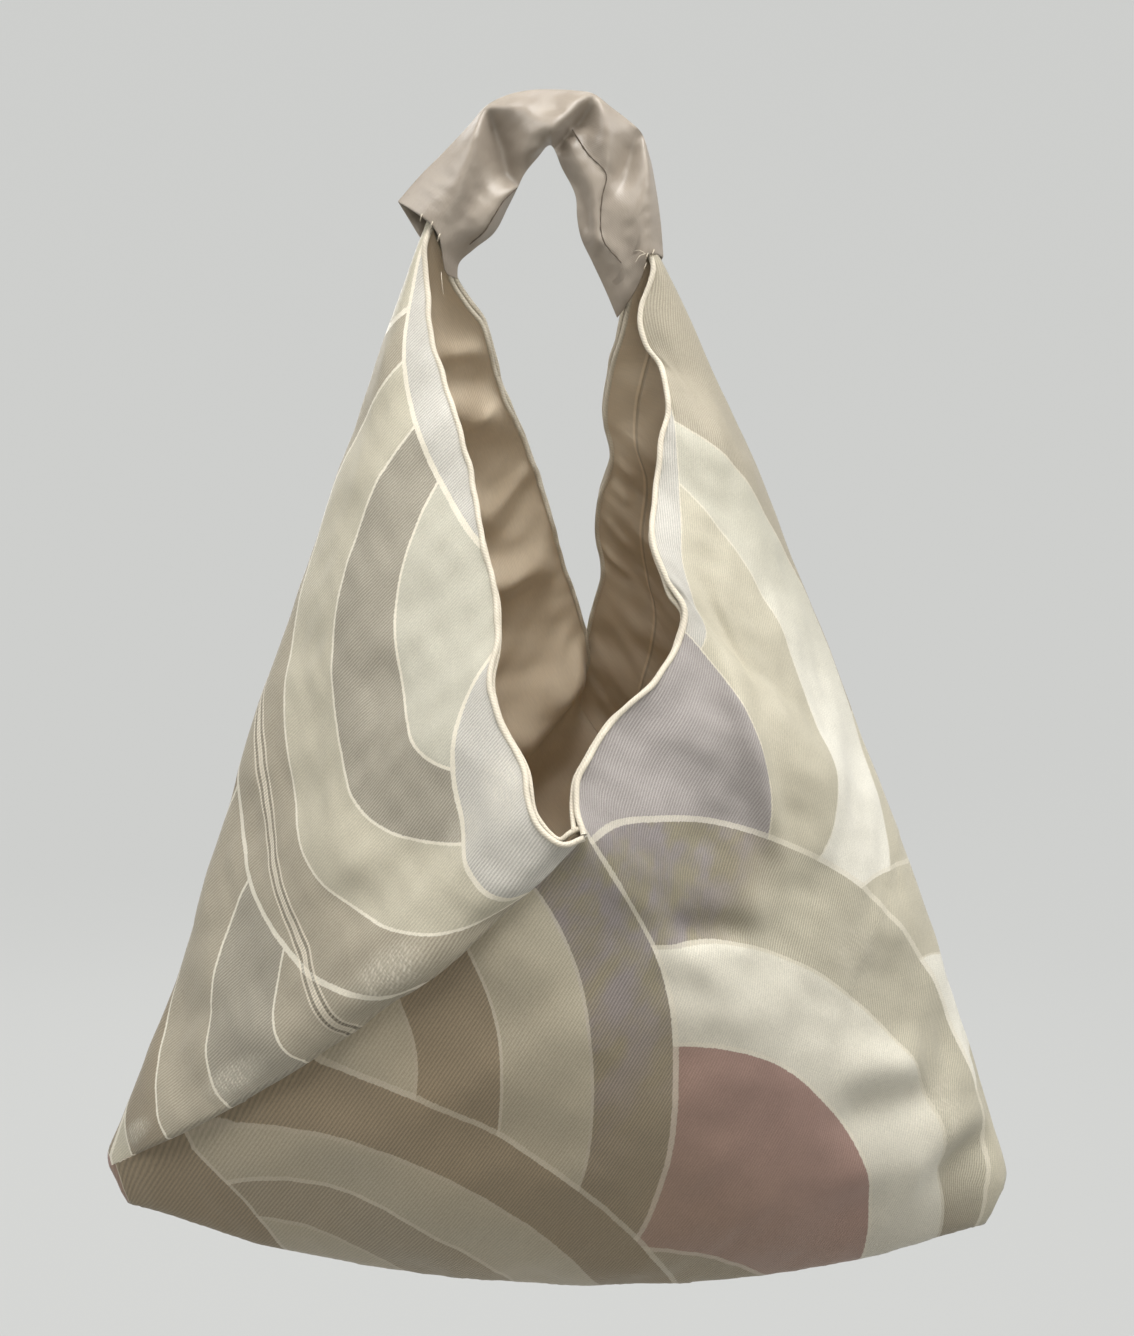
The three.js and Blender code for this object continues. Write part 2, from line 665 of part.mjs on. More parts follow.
const CORE_RINGS = 12;
const coreStart = tipShare + TOUCH_GAP / archLength;
const coreRings = [];
for (let k = 0; k <= CORE_RINGS; k++) {
  const { centre, out } = archFrame(coreStart + ((1 - 2 * coreStart) * k) / CORE_RINGS);
  coreRings.push(ringOf(centre, out, depthwise, CORE_WIDTH / 2, CORE_DEPTH / 2, RIM_SIDES));
}
addPiece('handle_core', loftGeometry(coreRings), cloth(COTTON));

// Tack stitches, whipped to and fro between the sleeve and the peak tip just inside its mouth

const TACK_INSET = 3;
const tackRadius = THREAD_DIAMETER / 2;

function tackGeometry(share) {
  const { centre, out } = archFrame(share);
  const reach = tackRadius + TOUCH_GAP;
  const points = [];
  for (let k = 0; k <= 2 * TACK_STITCHES; k++) {
    const turn = (Math.PI * 2 * k) / (2 * TACK_STITCHES + 2);
    const outside = k % 2 === 0;
    const half = (whole, tip) => (outside ? whole / 2 - SLEEVE_WALL - 2 * reach : tip / 2 + 2 * reach);
    const p = centre.clone();
    p.addScaledVector(out, half(sleeveWidth(share), TIP_WIDTH) * Math.cos(turn));
    p.addScaledVector(depthwise, half(SLEEVE_DEPTH, TIP_DEPTH) * Math.sin(turn));
    points.push(p);
  }
  return threadGeometry(points, tackRadius);
}

const tackShare = TACK_INSET / archLength;
addPiece('left_tack_stitch', tackGeometry(tackShare), cloth(THREAD));
addPiece('right_tack_stitch', tackGeometry(1 - tackShare), cloth(THREAD));

export default bag;
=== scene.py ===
"""Azuma bukuro: a hand bag folded from one long strip of obi brocade, with a satin sleeve for a handle."""

import math
from functools import lru_cache
from typing import NamedTuple

import bpy
import numpy as np
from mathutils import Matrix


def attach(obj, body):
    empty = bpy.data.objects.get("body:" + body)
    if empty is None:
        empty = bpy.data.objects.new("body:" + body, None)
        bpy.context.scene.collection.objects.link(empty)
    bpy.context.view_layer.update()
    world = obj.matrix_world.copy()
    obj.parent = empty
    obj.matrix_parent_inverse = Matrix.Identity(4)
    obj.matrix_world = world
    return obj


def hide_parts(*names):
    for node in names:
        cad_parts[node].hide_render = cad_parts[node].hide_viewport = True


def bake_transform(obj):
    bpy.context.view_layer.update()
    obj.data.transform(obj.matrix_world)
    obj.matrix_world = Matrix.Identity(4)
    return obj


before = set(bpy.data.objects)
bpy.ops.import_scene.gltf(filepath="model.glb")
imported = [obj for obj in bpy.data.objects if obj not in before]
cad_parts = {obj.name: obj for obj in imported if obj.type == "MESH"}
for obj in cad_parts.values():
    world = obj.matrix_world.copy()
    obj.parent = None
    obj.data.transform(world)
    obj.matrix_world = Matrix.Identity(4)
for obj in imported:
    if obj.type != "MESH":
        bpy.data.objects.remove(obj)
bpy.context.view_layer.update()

bl_info = {
    "name": "Azuma bukuro",
    "version": (1, 0, 0),
    "blender": (4, 5, 0),
    "location": "View3D > Sidebar > Bag",
    "description": "Builds a folded cloth hand bag round its packed frame",
    "category": "Add Mesh",
}

MM = 0.001

# The folded bag, in millimetres from where its handle hangs; left and right as seen from the front.
MOUTH_POINT_FRONT = np.array([11.6, -92.0, -260.6])
MOUTH_POINT_BACK = np.array([12.0, 92.0, -235.0])
LEFT_CORNER = np.array([-199.0, 0.0, -429.0])
RIGHT_CORNER = np.array([204.0, 0.0, -440.0])

SIDE_FOLD_LEFT = (
    (-51, 0, -27), (-53.5, 0, -34), (-60.5, 0, -52), (-94, 0, -140), (-131, 0, -240),
    (-166, 0, -345), LEFT_CORNER,
)
SIDE_FOLD_RIGHT = (
    (39, 0, -34), (45, 0, -45), (58, 0, -70), (96, 0, -153), (136, 0, -250), (173, 0, -345),
    RIGHT_CORNER,
)
LIP_FRONT_LEFT = (
    (-48, -4, -27), (-51, -6.5, -35), (-50.6, -9, -53), (-49, -15, -71.5), (-40.7, -25.6, -99),
    (-32.4, -36, -127), (-27, -48, -155), (-21.7, -56, -176), (-21.2, -61, -188),
    (-23.6, -70, -209), (-17.8, -77, -225), (-10, -82, -238), (-6.7, -89, -254), (3, -93, -263),
    MOUTH_POINT_FRONT,
)
LIP_FRONT_RIGHT = (
    (37, -4, -38), (40.3, -6.5, -46), (35.5, -8.5, -63), (36.9, -12, -77), (43.6, -16, -87),
    (45.9, -20.5, -97), (42.4, -29, -119), (40, -37.6, -138), (39, -45, -155.6),
    (43.6, -50.6, -169), (51, -56, -181), (49, -60, -191), (41, -66, -204), (21.9, -74, -222),
    (14.3, -79, -233), (9.8, -83, -241.5), (9.4, -86, -248.5), MOUTH_POINT_FRONT,
)
LIP_BACK_LEFT = (
    (-43, 4, -40), (-38.5, 7.5, -53), (-29, 13, -66), (-22.6, 24, -90), (-14.4, 33.5, -111),
    (-3.9, 46, -141), (2.5, 56.5, -166), (9.2, 65, -187), (13, 76, -210), MOUTH_POINT_BACK,
)
LIP_BACK_RIGHT = (
    (31, 4, -50), (28.2, 7.5, -66), (22.4, 22, -94), (21.8, 28.6, -107), (24.9, 35, -120),
    (20, 45, -141), (19.2, 51, -155), (22.5, 57.5, -168), (16.9, 70, -196), MOUTH_POINT_BACK,
)

# How far the cloth bows, bellies and sags between those lines, with the shares that go out and down.
SEAM_BOW = 16.0
SEAM_BOW_OUT = 0.85
SEAM_BOW_DOWN = 0.5
WING_ROUNDNESS = 55.0
WING_SIDEWAYS = 0.4
BASE_ROUNDNESS = 18.0
BASE_DOWN = 0.6
BOTTOM_SAG = 49.0
SAG_FULLNESS = 0.42
# The lining's tuck at the lower corners, and the way and the roundness of each corner's blunted tip.
CORNER_TUCK = 8.0
LEFT_TIP_WAY = np.array([-0.91, 0.0, -0.41])
RIGHT_TIP_WAY = np.array([0.91, 0.0, -0.41])
LEFT_BLUNT = 9.0
RIGHT_BLUNT = 12.0

# How finely the cloth is divided.
CELLS = 96
ROWS = 144
SOFTEN_ROUNDS = 130

# The handle sleeve's outline from its left mouth to its right one: across, up and towards the viewer.
SLEEVE_OUTER_EDGE = (
    (-62.9, -19.7, 0), (-53.8, -9.5, 0), (-44.8, -0.8, 0), (-33.5, 10.8, 0), (-26.8, 17.9, 1),
    (-17.9, 22.4, 0), (-10.5, 24, 0), (1.4, 24.4, 0), (8.8, 24, 0), (15.5, 22.9, 1),
    (23.7, 17.3, 0), (30.4, 12.3, 0), (35.2, 7.8, 1), (38.6, -0.8, 0), (41.7, -15.3, 0),
    (43.6, -28.5, 0), (44.7, -41.7, 0),
)
SLEEVE_INNER_EDGE = (
    (-38.8, -50.6, 0), (-38.4, -44.7, 0), (-32.4, -38.8, 0), (-24.1, -32.2, -1), (-18, -21.3, -1),
    (-14.2, -14.1, 0), (-12, -9.8, 2), (-6, -2.6, 3), (-1.4, 2.1, 3), (3.6, -6.9, 2),
    (9.2, -18.5, 2), (9.6, -25.8, 2), (11.1, -33.7, 1), (15.6, -43.3, 1), (21.6, -55.8, 0),
    (26, -66.1, 0),
)
LEFT_MOUTH_EDGE = (
    (-62.9, -19.7, 0), (-55, -24.8, 6), (-48.1, -30.2, 9), (-45.6, -34.5, 9), (-44.3, -41.6, 7),
    (-43.1, -48.7, 4), (-38.8, -50.6, 0),
)
RIGHT_MOUTH_EDGE = (
    (44.7, -41.7, 0), (41.6, -40.9, 5), (37.9, -41.4, 8.5), (37.1, -45.3, 7), (36, -49.5, 5.5),
    (31.7, -58.2, 3), (26, -66.1, 0),
)
# Ridges and valleys of the crumpled sleeve, seen from the front.
SLEEVE_CREASES = {
    "left band ridge": (
        (-46, -30, 9), (-37.5, -18, 10.5), (-34, -6.3, 10.5), (-31, 5.8, 9), (-27, 17, 2.5),
    ),
    "left valley": (
        (-26.4, 16.6, 2), (-23.8, 7.7, -2), (-20.2, -0.9, -3), (-17.2, -9.7, -2.5),
        (-14.6, -13.4, 0),
    ),
    "crown ridge": ((-26, 16.8, 3), (-13.3, 16.2, 7), (-0.8, 14.4, 9), (8.8, 16.6, 9), (15.1, 21.7, 4)),
    "crown underside": ((-11.9, -1.8, 7), (-6.7, -0.9, 8.5), (-2.2, 1.6, 9)),
    "crown fold": ((14.9, 21.5, 4.5), (8.8, 14.4, 9.5), (3.7, 7.1, 10.5), (-1.6, 1.8, 10)),
    "crown hollow": ((16.1, 21, 2), (10.2, 14.1, 0), (6.2, 9.3, -1.5), (0.7, 2.7, -1)),
    "shoulder ridge": ((18.4, 19.6, 4), (20.6, 12.7, 6.5), (22.8, 3.2, 7.5), (22.1, -7.6, 7.5)),
    "shoulder valley": ((34.5, 7.3, 0), (31.1, -3.3, -0.5), (27.4, -12.9, 2.5)),
    "right band ridge": (
        (36.3, 3.9, 2.5), (38.1, -5.1, 5), (38.8, -16.2, 7), (38.4, -29.4, 8), (37.7, -39.9, 8.5),
    ),
    "seam bank": (
        (5.5, 3.7, 4), (11.8, -7.5, 6.5), (16.2, -17.8, 8), (17.3, -28, 8.5), (18.8, -36.7, 8.5),
    ),
    "inner valley": ((8.8, -12.9, 2), (12.9, -23.2, 2.5), (14, -30.5, 3)),
    "right lower face": ((27.4, -30.7, 7), (29.7, -45.2, 6.5), (27.9, -56.1, 4.5), (26.3, -63.2, 1.5)),
    "left lower face": ((-40.9, -34.4, 7.5), (-33.4, -23.4, 7), (-26.8, -12.9, 4)),
}
# The same for the back, heights away from the viewer.
SLEEVE_BACK_CREASES = {
    "left outer ridge": ((-55, -22, 7), (-45, -12.5, 10), (-35.5, -2, 10.5), (-29, 7, 8.5)),
    "left crease": ((-25, -30, 3.5), (-31, -23, 6.8), (-39, -19, 7.2), (-47, -20, 7.5)),
    "left mouth ridge": ((-47, -33, 9), (-41, -31, 10), (-36, -33, 9), (-33, -37, 6)),
    "left bend": ((-27, 14.5, 4.5), (-23.5, 6, 6.8), (-20.5, -2, 6.8)),
    "crown ridge": ((-20, 14, 8), (-8, 13, 10.5), (4, 12.5, 10.5), (13, 17, 8)),
    "right bend": ((17.5, 20, 4), (14, 12, 6.8), (10, 5, 7)),
    "crown underside": ((-16, -7.4, 6), (-9.5, 1, 7), (-1.4, 7, 7.5), (6.5, -2, 7), (12, -15, 6.5)),
    "shoulder ridge": ((23, 12, 8.5), (25.5, 1, 10.5), (24, -11, 10), (18.5, -22, 8.5), (14, -30, 6)),
    "right crease": ((37, 1, 3.5), (33, -9, 6.8), (29, -20, 7), (21.5, -33, 6.8), (15.5, -41, 3.5)),
    "right mouth ridge": ((38.5, -14, 6), (36, -24, 10), (33, -37, 10.5), (31, -50, 9), (30, -58, 6)),
}
RIGHT_SLEEVE_SEAM = (
    (7.7, 8.4, 2), (14, -1.5, 5), (21.4, -10.4, 7), (19.9, -17.6, 7), (19.1, -24.9, 7), (20, -35.1, 7),
    (27.4, -44.5, 7),
)
LEFT_SLEEVE_SEAM = (
    (-14.6, -14.6, 3), (-20.1, -20.3, 5), (-23.8, -26.2, 6), (-27.6, -32, 5.5), (-33.7, -36.9, 3),
)
# The sleeve's divisions along it and over each half of it.
SLEEVE_STEPS = 170
SLEEVE_ROUND = 56
# The sleeve's cloth laid flat, along it and round it.
SLEEVE_LENGTH = 205
SLEEVE_GIRTH = 84
# The strap in the sleeve: how far behind the middle it lies, half its thickness, and its divisions.
STRAP_BACK = 4.6
STRAP_HALF_DEPTH = 0.8
STRAP_STEPS = 60
STRAP_ROUND = 24
# The shares of the sleeve between which the strap lies, and its cloth to each division along and round.
STRAP_ENDS = (0.2, 0.8)
STRAP_CLOTH = (1.7, 1.1)


def measure(name, description, default, unit="LENGTH"):
    """A length, or a measure in another unit, that a user can change."""
    return bpy.props.FloatProperty(name=name, description=description, default=default, unit=unit)


class BagSizes(bpy.types.PropertyGroup):
    """Sizes of the folded cloth that a maker would change."""

    strip_width: measure(
        "Strip width",
        "Finished width of the strip, which is the side of each of its three squares",
        0.295,
    )
    lining_gap: measure("Lining gap", "Distance from the outer cloth in to the lining", 0.0020)
    hem_diameter: measure("Hem diameter", "Thickness of each rolled hem along the mouth", 0.0023)
    seam_lap: measure("Seam lap", "How far the lapping panel stands proud of the seam under it", 0.0055)
    slack: measure("Slack", "Height of the small waves in the hanging cloth", 0.0007)


class HandleSizes(bpy.types.PropertyGroup):
    """Sizes of the sleeve and its sewing."""

    hem_depth: measure("Hem depth", "How far each mouth of the sleeve is turned in", 0.012)
    thread_diameter: measure("Thread diameter", "Thickness of the sewing thread", 0.0005)
    strap_width: measure("Strap width", "Width of the strap inside the sleeve", 0.012)


def screen_colour(red, green, blue):
    """A colour as seen on screen, 0 to 255, as the linear colour that Blender works in."""
    shares = (red / 255, green / 255, blue / 255)
    return tuple(c / 12.92 if c <= 0.04045 else ((c + 0.055) / 1.055) ** 2.4 for c in shares)


def colour_property(name, description, *screen):
    """A colour that a user can change."""
    return bpy.props.FloatVectorProperty(
        name=name,
        description=description,
        subtype="COLOR",
        size=3,
        min=0,
        max=1,
        default=screen_colour(*screen),
    )


class ClothColours(bpy.types.PropertyGroup):
    """Colours of the yarns and cloths."""

    taupe: colour_property("Taupe", "Ground yarn of the brocade", 172, 164, 146)
    dark_taupe: colour_property("Dark taupe", "Darker ground yarn", 153, 142, 122)
    grey_taupe: colour_property("Grey taupe", "Cool ground yarn", 167, 161, 146)
    beige: colour_property("Beige", "Satin yarn of every second ring", 192, 186, 167)
    grey_ivory: colour_property("Grey ivory", "Pale satin yarn of the inner rings", 191, 188, 173)
    ivory: colour_property("Ivory", "Pale satin yarn of the band beside the lens", 213, 209, 195)
    white: colour_property("White", "Palest satin yarn", 224, 221, 209)
    pink: colour_property("Dusty pink", "Pink yarn of one lens", 160, 132, 123)
    mauve: colour_property("Mauve grey", "Cool yarn beside the right lip", 167, 161, 158)
    silver: colour_property("Silver", "Cool pale yarn beside the lips", 196, 193, 185)
    olive: colour_property("Olive", "Warm half of the two-toned band", 148, 141, 121)
    lilac: colour_property("Lilac", "Cool half of the two-toned band", 148, 141, 140)
    outline: colour_property("Outline", "Raised yarn that outlines each ring", 217, 211, 195)
    lining: colour_property("Lining", "Tan cotton of the lining", 229, 212, 186)
    hem: colour_property("Hem", "Cream rolled hem", 229, 220, 202)
    satin: colour_property("Satin", "Champagne satin of the sleeve", 150, 139, 127)
    cotton: colour_property("Cotton", "Plain cotton of the strap", 232, 226, 212)
    thread: colour_property("Thread", "Sewing thread", 214, 203, 184)
    # The seam colour is a painted shadow: the dark of the gap along the sleeve's seam, given to its
    # thread.
    seam: colour_property("Seam", "Dark thread that closes the sleeve", 84, 72, 61)
    # The painted warm shade of the base: a darker, warmer tint mixed over the middle square.
    shaded: colour_property("Shaded base", "Warm tone of the base, which is handled most", 146, 124, 92)


class StageSizes(bpy.types.PropertyGroup):
    """The studio round the bag."""

    key_power: measure("Key light", "Power of the large soft light from above the front", 45.0, "POWER")
    side_power: measure(
        "Side lights",
        "Power of each of the two soft lights at the sides",
        28.0,
        "POWER",
    )
    front_power: measure(
        "Front light",
        "Power of the soft light from the front, which reaches into the mouth and under the bag",
        4.6,
        "POWER",
    )
    back_power: measure("Back light", "Power of the soft light behind the bag", 24.0, "POWER")
    sky: measure("Sky", "Strength of the even light from all round", 0.1, "NONE")
    backdrop: colour_property("Backdrop", "Floor and backdrop", 222, 223, 221)


def smooth_step(value, low, high):
    """0 below low, 1 above high and a smooth rise between."""
    share = np.clip((np.asarray(value, float) - low) / (high - low), 0, 1)
    return share * share * (3 - 2 * share)


def path(stops, shares):
    """Points of a smooth line through the stops, at shares of its length."""
    points = np.array(stops, float)
    lengths = np.linalg.norm(np.diff(points, axis=0), axis=1)
    places = np.concatenate([[0], np.cumsum(lengths)]) / lengths.sum()
    slopes = np.gradient(points, places, axis=0)
    shares = np.clip(np.asarray(shares, float), 0, 1)
    leg = np.clip(np.searchsorted(places, shares, side="right") - 1, 0, len(places) - 2)
    reach = (places[leg + 1] - places[leg])[..., None]
    x = (shares[..., None] - places[leg][..., None]) / reach
    ends = points[leg] * (2 * x**3 - 3 * x**2 + 1) + points[leg + 1] * (3 * x**2 - 2 * x**3)
    return ends + reach * (slopes[leg] * (x**3 - 2 * x**2 + x) + slopes[leg + 1] * (x**3 - x**2))


def lengths_along(points):
    """Distance along a line of points to each of them."""
    return np.concatenate([[0], np.cumsum(np.linalg.norm(np.diff(points, axis=0), axis=1))])


def unit(ways):
    """Each direction at length one."""
    return ways / np.linalg.norm(ways, axis=1, keepdims=True)


def seam_line(corner, point, share):
    """The bowed seam from a lower corner up to a mouth point."""
    share = np.asarray(share, float)[..., None]
    bow = SEAM_BOW * np.sin(np.pi * share)
    out = np.array([0, np.sign(point[1]) * SEAM_BOW_OUT, -SEAM_BOW_DOWN])
    return corner + (point - corner) * share + bow * out


def wing_half(fold, lip, corner, point, across, down):
    """Half a wing: across runs from the side fold to the lip, down from the peak to the seam."""
    fold_top = np.array(fold[0], float)
    lip_top = np.array(lip[0], float)
    turn = across[..., None] * np.pi / 2
    gather = fold_top + (lip_top - fold_top) * (1 - np.cos(turn)) * [1, 0, 1]
    gather = gather + (lip_top - fold_top) * np.sin(turn) * [0, 1, 0]
    u = across[..., None]
    v = down[..., None]
    points = path(fold, down) * (1 - u) + path(lip, down) * u
    points = points + gather * (1 - v) + seam_line(corner, point, across) * v
    points = points - fold_top * (1 - u) * (1 - v) - lip_top * u * (1 - v)
    points = points - corner * (1 - u) * v - point * u * v
    belly = WING_ROUNDNESS * (np.sin(turn) - u) * np.sin(np.pi * v)
    return points + belly * np.array([np.sign(corner[0]) * WING_SIDEWAYS, np.sign(point[1]), 0])


def base_points(along, across):
    """The middle square, folded along its diagonal from the left corner to the right one."""
    front = (along >= across)[..., None]
    point = np.where(front, MOUTH_POINT_FRONT, MOUTH_POINT_BACK)
    face = np.where(front, -1.0, 1.0)
    right = np.minimum(along, across)[..., None]
    tip = np.abs(along - across)[..., None]
    left = 1 - right - tip
    points = LEFT_CORNER * left + RIGHT_CORNER * right + point * tip
    bow_way = np.concatenate([0 * face, SEAM_BOW_OUT * face, -SEAM_BOW_DOWN + 0 * face], axis=-1)
    for far, near in ((right, left), (left, right)):
        share = np.clip(tip / np.maximum(near + tip, 1e-9), 0, 1)
        bow = SEAM_BOW * np.sin(np.pi * share) * (1 - far) ** 2
        points = points + bow * bow_way
    keel = np.clip(right / np.maximum(left + right, 1e-9), 0, 1)
    sag = BOTTOM_SAG * np.sin(np.pi * keel) ** SAG_FULLNESS * (1 - tip) ** 2
    # The product of the three shares is 1 / 27 where it is greatest.
    belly = BASE_ROUNDNESS * 27 * left * right * tip
    return points + np.concatenate([0 * sag, face * belly, -sag - BASE_DOWN * belly], axis=-1)


def wing_flat(square, side, front, across, down):
    """Where a wing's point lies on the flat strip."""
    peak = np.where(side < 0, (0, square), (3 * square, 0))
    corner = np.where(side < 0, (square, 0), (2 * square, square))
    if side < 0:
        front_point, back_point = (0, 0), (square, square)
    else:
        front_point, back_point = (2 * square, 0), (3 * square, square)
    point = np.where(front[..., None], front_point, back_point)
    return peak + down[..., None] * (corner - peak + across[..., None] * (point - corner))


def grid_ids(rows, columns):
    """Point numbers of a grid, row by row."""
    return np.arange(rows * columns).reshape(rows, columns)


def closed_ids(rows, columns):
    """The same for a grid whose last column joins its first."""
    ids = grid_ids(rows, columns)
    return np.concatenate([ids, ids[:, :1]], axis=1)


def grid_quads(ids, turned=False):
    """Four-sided faces of a grid of point numbers."""
    corners = (ids[:-1, :-1], ids[1:, :-1], ids[1:, 1:], ids[:-1, 1:])
    quads = np.stack([c.ravel() for c in corners], axis=1)
    return quads[:, ::-1] if turned else quads


class FoldedStrip(NamedTuple):
    """A strip of three squares folded into the bag."""

    points: np.ndarray
    flat: np.ndarray
    quads: np.ndarray
    left: np.ndarray
    right: np.ndarray


def folded_strip(square):
    """The strip as one mesh, joined where the cloth runs on and open where it is sewn."""
    down, column = np.meshgrid(np.arange(ROWS + 1) / ROWS, np.arange(2 * CELLS + 1), indexing="ij")
    across = np.abs(column - CELLS) / CELLS
    front = column >= CELLS
    wings = []
    wing_flats = []
    for side, fold, lip_front, lip_back, corner in (
        (-1, SIDE_FOLD_LEFT, LIP_FRONT_LEFT, LIP_BACK_LEFT, LEFT_CORNER),
        (1, SIDE_FOLD_RIGHT, LIP_FRONT_RIGHT, LIP_BACK_RIGHT, RIGHT_CORNER),
    ):
        ahead = wing_half(fold, lip_front, corner, MOUTH_POINT_FRONT, across, down)
        behind = wing_half(fold, lip_back, corner, MOUTH_POINT_BACK, across, down)
        wings.append(np.where(front[..., None], ahead, behind))
        wing_flats.append(wing_flat(square, side, front, across, down))
    shares = np.arange(CELLS + 1) / CELLS
    along, over = np.meshgrid(shares, shares, indexing="ij")
    base = base_points(along, over)
    base_flat = np.stack([square * (1 + along), square * over], axis=-1)

    left_ids = grid_ids(*down.shape)
    base_ids = down.size + grid_ids(*along.shape)
    right_ids = down.size + along.size + left_ids
    order = np.arange(CELLS + 1)
    base_ids[0, order] = left_ids[ROWS, CELLS - order]
    right_ids[ROWS, CELLS + order] = base_ids[CELLS, CELLS - order]

    points = np.concatenate([part.reshape(-1, 3) for part in (wings[0], base, wings[1])])
    flat = np.concatenate([part.reshape(-1, 2) for part in (wing_flats[0], base_flat, wing_flats[1])])
    quads = np.concatenate([grid_quads(left_ids), grid_quads(base_ids, True), grid_quads(right_ids, True)])
    used, renumbered = np.unique(quads, return_inverse=True)
    numbers = np.zeros(len(points), int)
    numbers[used] = np.arange(len(used))
    return FoldedStrip(
        points[used],
        flat[used],
        renumbered.reshape(quads.shape),
        numbers[left_ids],
        numbers[right_ids],
    )


def edges_of(quads):
    """Each edge once, with the number of faces on it."""
    pairs = np.concatenate([quads[:, [0, 1]], quads[:, [1, 2]], quads[:, [2, 3]], quads[:, [3, 0]]])
    return np.unique(np.sort(pairs, axis=1), axis=0, return_counts=True)


def softened(points, quads, weight, rounds):
    """Points drawn towards the middle of their neighbours, each by its own weight."""
    edges, _ = edges_of(quads)
    first, second = edges.T
    count = np.bincount(edges.ravel(), minlength=len(points))[:, None]
    points = points.copy()
    for _ in range(rounds):
        total = np.zeros_like(points)
        np.add.at(total, first, points[second])
        np.add.at(total, second, points[first])
        points += 0.5 * weight[:, None] * (total / count - points)
    return points


def normals_of(points, quads):
    """Outward direction at each point."""
    a, b, c, d = (points[quads[:, k]] for k in range(4))
    faces = np.cross(c - a, d - b)
    normals = np.zeros_like(points)
    for k in range(4):
        np.add.at(normals, quads[:, k], faces)
    return normals / np.maximum(np.linalg.norm(normals, axis=1, keepdims=True), 1e-9)


def line_distance(flat, start, end):
    """Distance from each flat place to a straight line, and the share along it."""
    start = np.array(start, float)
    way = np.array(end, float) - start
    share = np.clip(((flat - start) @ way) / (way @ way), 0, 1)
    return np.linalg.norm(flat - start - share[:, None] * way, axis=1), share


# How many sines make up the irregular waves, and how far their lengths vary.
WAVE_COUNT = 10
WAVE_LENGTHS = (0.7, 1.5)


def waves(flat, length, seed):
    """Irregular waves about that long over the flat strip, between about -1 and 1."""
    rng = np.random.default_rng(seed)
    total = np.zeros(len(flat))
    for _ in range(WAVE_COUNT):
        angle = rng.uniform(0, 2 * np.pi)
        pitch = length * rng.uniform(*WAVE_LENGTHS)
        phase = (flat @ [np.cos(angle), np.sin(angle)]) * 2 * np.pi / pitch
        total += np.sin(phase + rng.uniform(0, 2 * np.pi))
    return total / math.sqrt(WAVE_COUNT)


class Fold(NamedTuple):
    """A soft fold along a line of the flat strip; a height below nothing is a valley."""

    start: tuple
    end: tuple
    width: float
    height: float


OUTER_FOLDS = (
    Fold((582, 168), (609, 224), 7, -5.5),
    Fold((584, 236), (609, 274), 7, -5.0),
    Fold((594, 158), (622, 212), 8, 3.0),
    Fold((566, 180), (592, 240), 8, 2.5),
    Fold((594, 226), (616, 262), 6, 2.5),
    Fold((648, 96), (702, 18), 7, 4.6),
    Fold((588, 52), (624, 104), 6, -4.2),
    Fold((612, 104), (652, 62), 8, 2.6),
    Fold((590, 20), (590, 120), 8, 1.5),
    Fold((560, 60), (592, 116), 8, 1.8),
    Fold((690, 60), (760, 12), 8, -1.8),
)
LINING_FOLDS = (
    Fold((252, 304), (270, 232), 17, -15.0),
    Fold((226, 292), (252, 262), 5, -2.0),
    Fold((238, 296), (266, 270), 5, -2.2),
    Fold((190, 302), (170, 246), 11, -8.5),
    Fold((158, 276), (116, 262), 6, -3.0),
    Fold((128, 302), (142, 268), 6, -3.5),
    Fold((98, 300), (66, 262), 9, -5.0),
    Fold((84, 302), (92, 276), 4, -2.5),
    Fold((56, 300), (50, 276), 5, -3.0),
    Fold((880, 215), (800, 190), 9, -3.5),
    Fold((884, 140), (820, 150), 8, -3.0),
    Fold((884, 90), (840, 96), 7, -2.5),
    Fold((887, 172), (868, 178), 4, -2.4),
    Fold((887, 150), (866, 160), 4, -2.2),
    Fold((887, 128), (870, 131), 4, -2.4),
    Fold((887, 112), (872, 118), 4, -2.0),
)


# The share of a fold's length over which it fades at each end, and what is left of it there.
FOLD_FADE = 0.3
FOLD_LEFT = 0.25


def fold_heights(flat, folds):
    """Sum of the folds at each flat place."""
    total = np.zeros(len(flat))
    for fold in folds:
        away, share = line_distance(flat, fold.start, fold.end)
        ends = smooth_step(share, 0, FOLD_FADE) * smooth_step(1 - share, 0, FOLD_FADE)
        fading = FOLD_LEFT + (1 - FOLD_LEFT) * ends
        total += fold.height * np.exp(-((away / fold.width) ** 2)) * fading
    return total


def blunted(points, corner, outward, blunt):
    """The points with the sharp tip of a corner pressed back and rounded."""
    depth = (corner - points) @ outward
    pressed = np.sqrt(np.maximum(depth, 0) ** 2 + blunt**2)
    return points + outward * ((depth - pressed) * (depth < 10 * blunt))[:, None]


# Distances from a lower corner and from a peak over which creases turn from sharp to rounded.
SHARP_AT_CORNER = (8, 60)
SHARP_AT_PEAK = (10, 45)


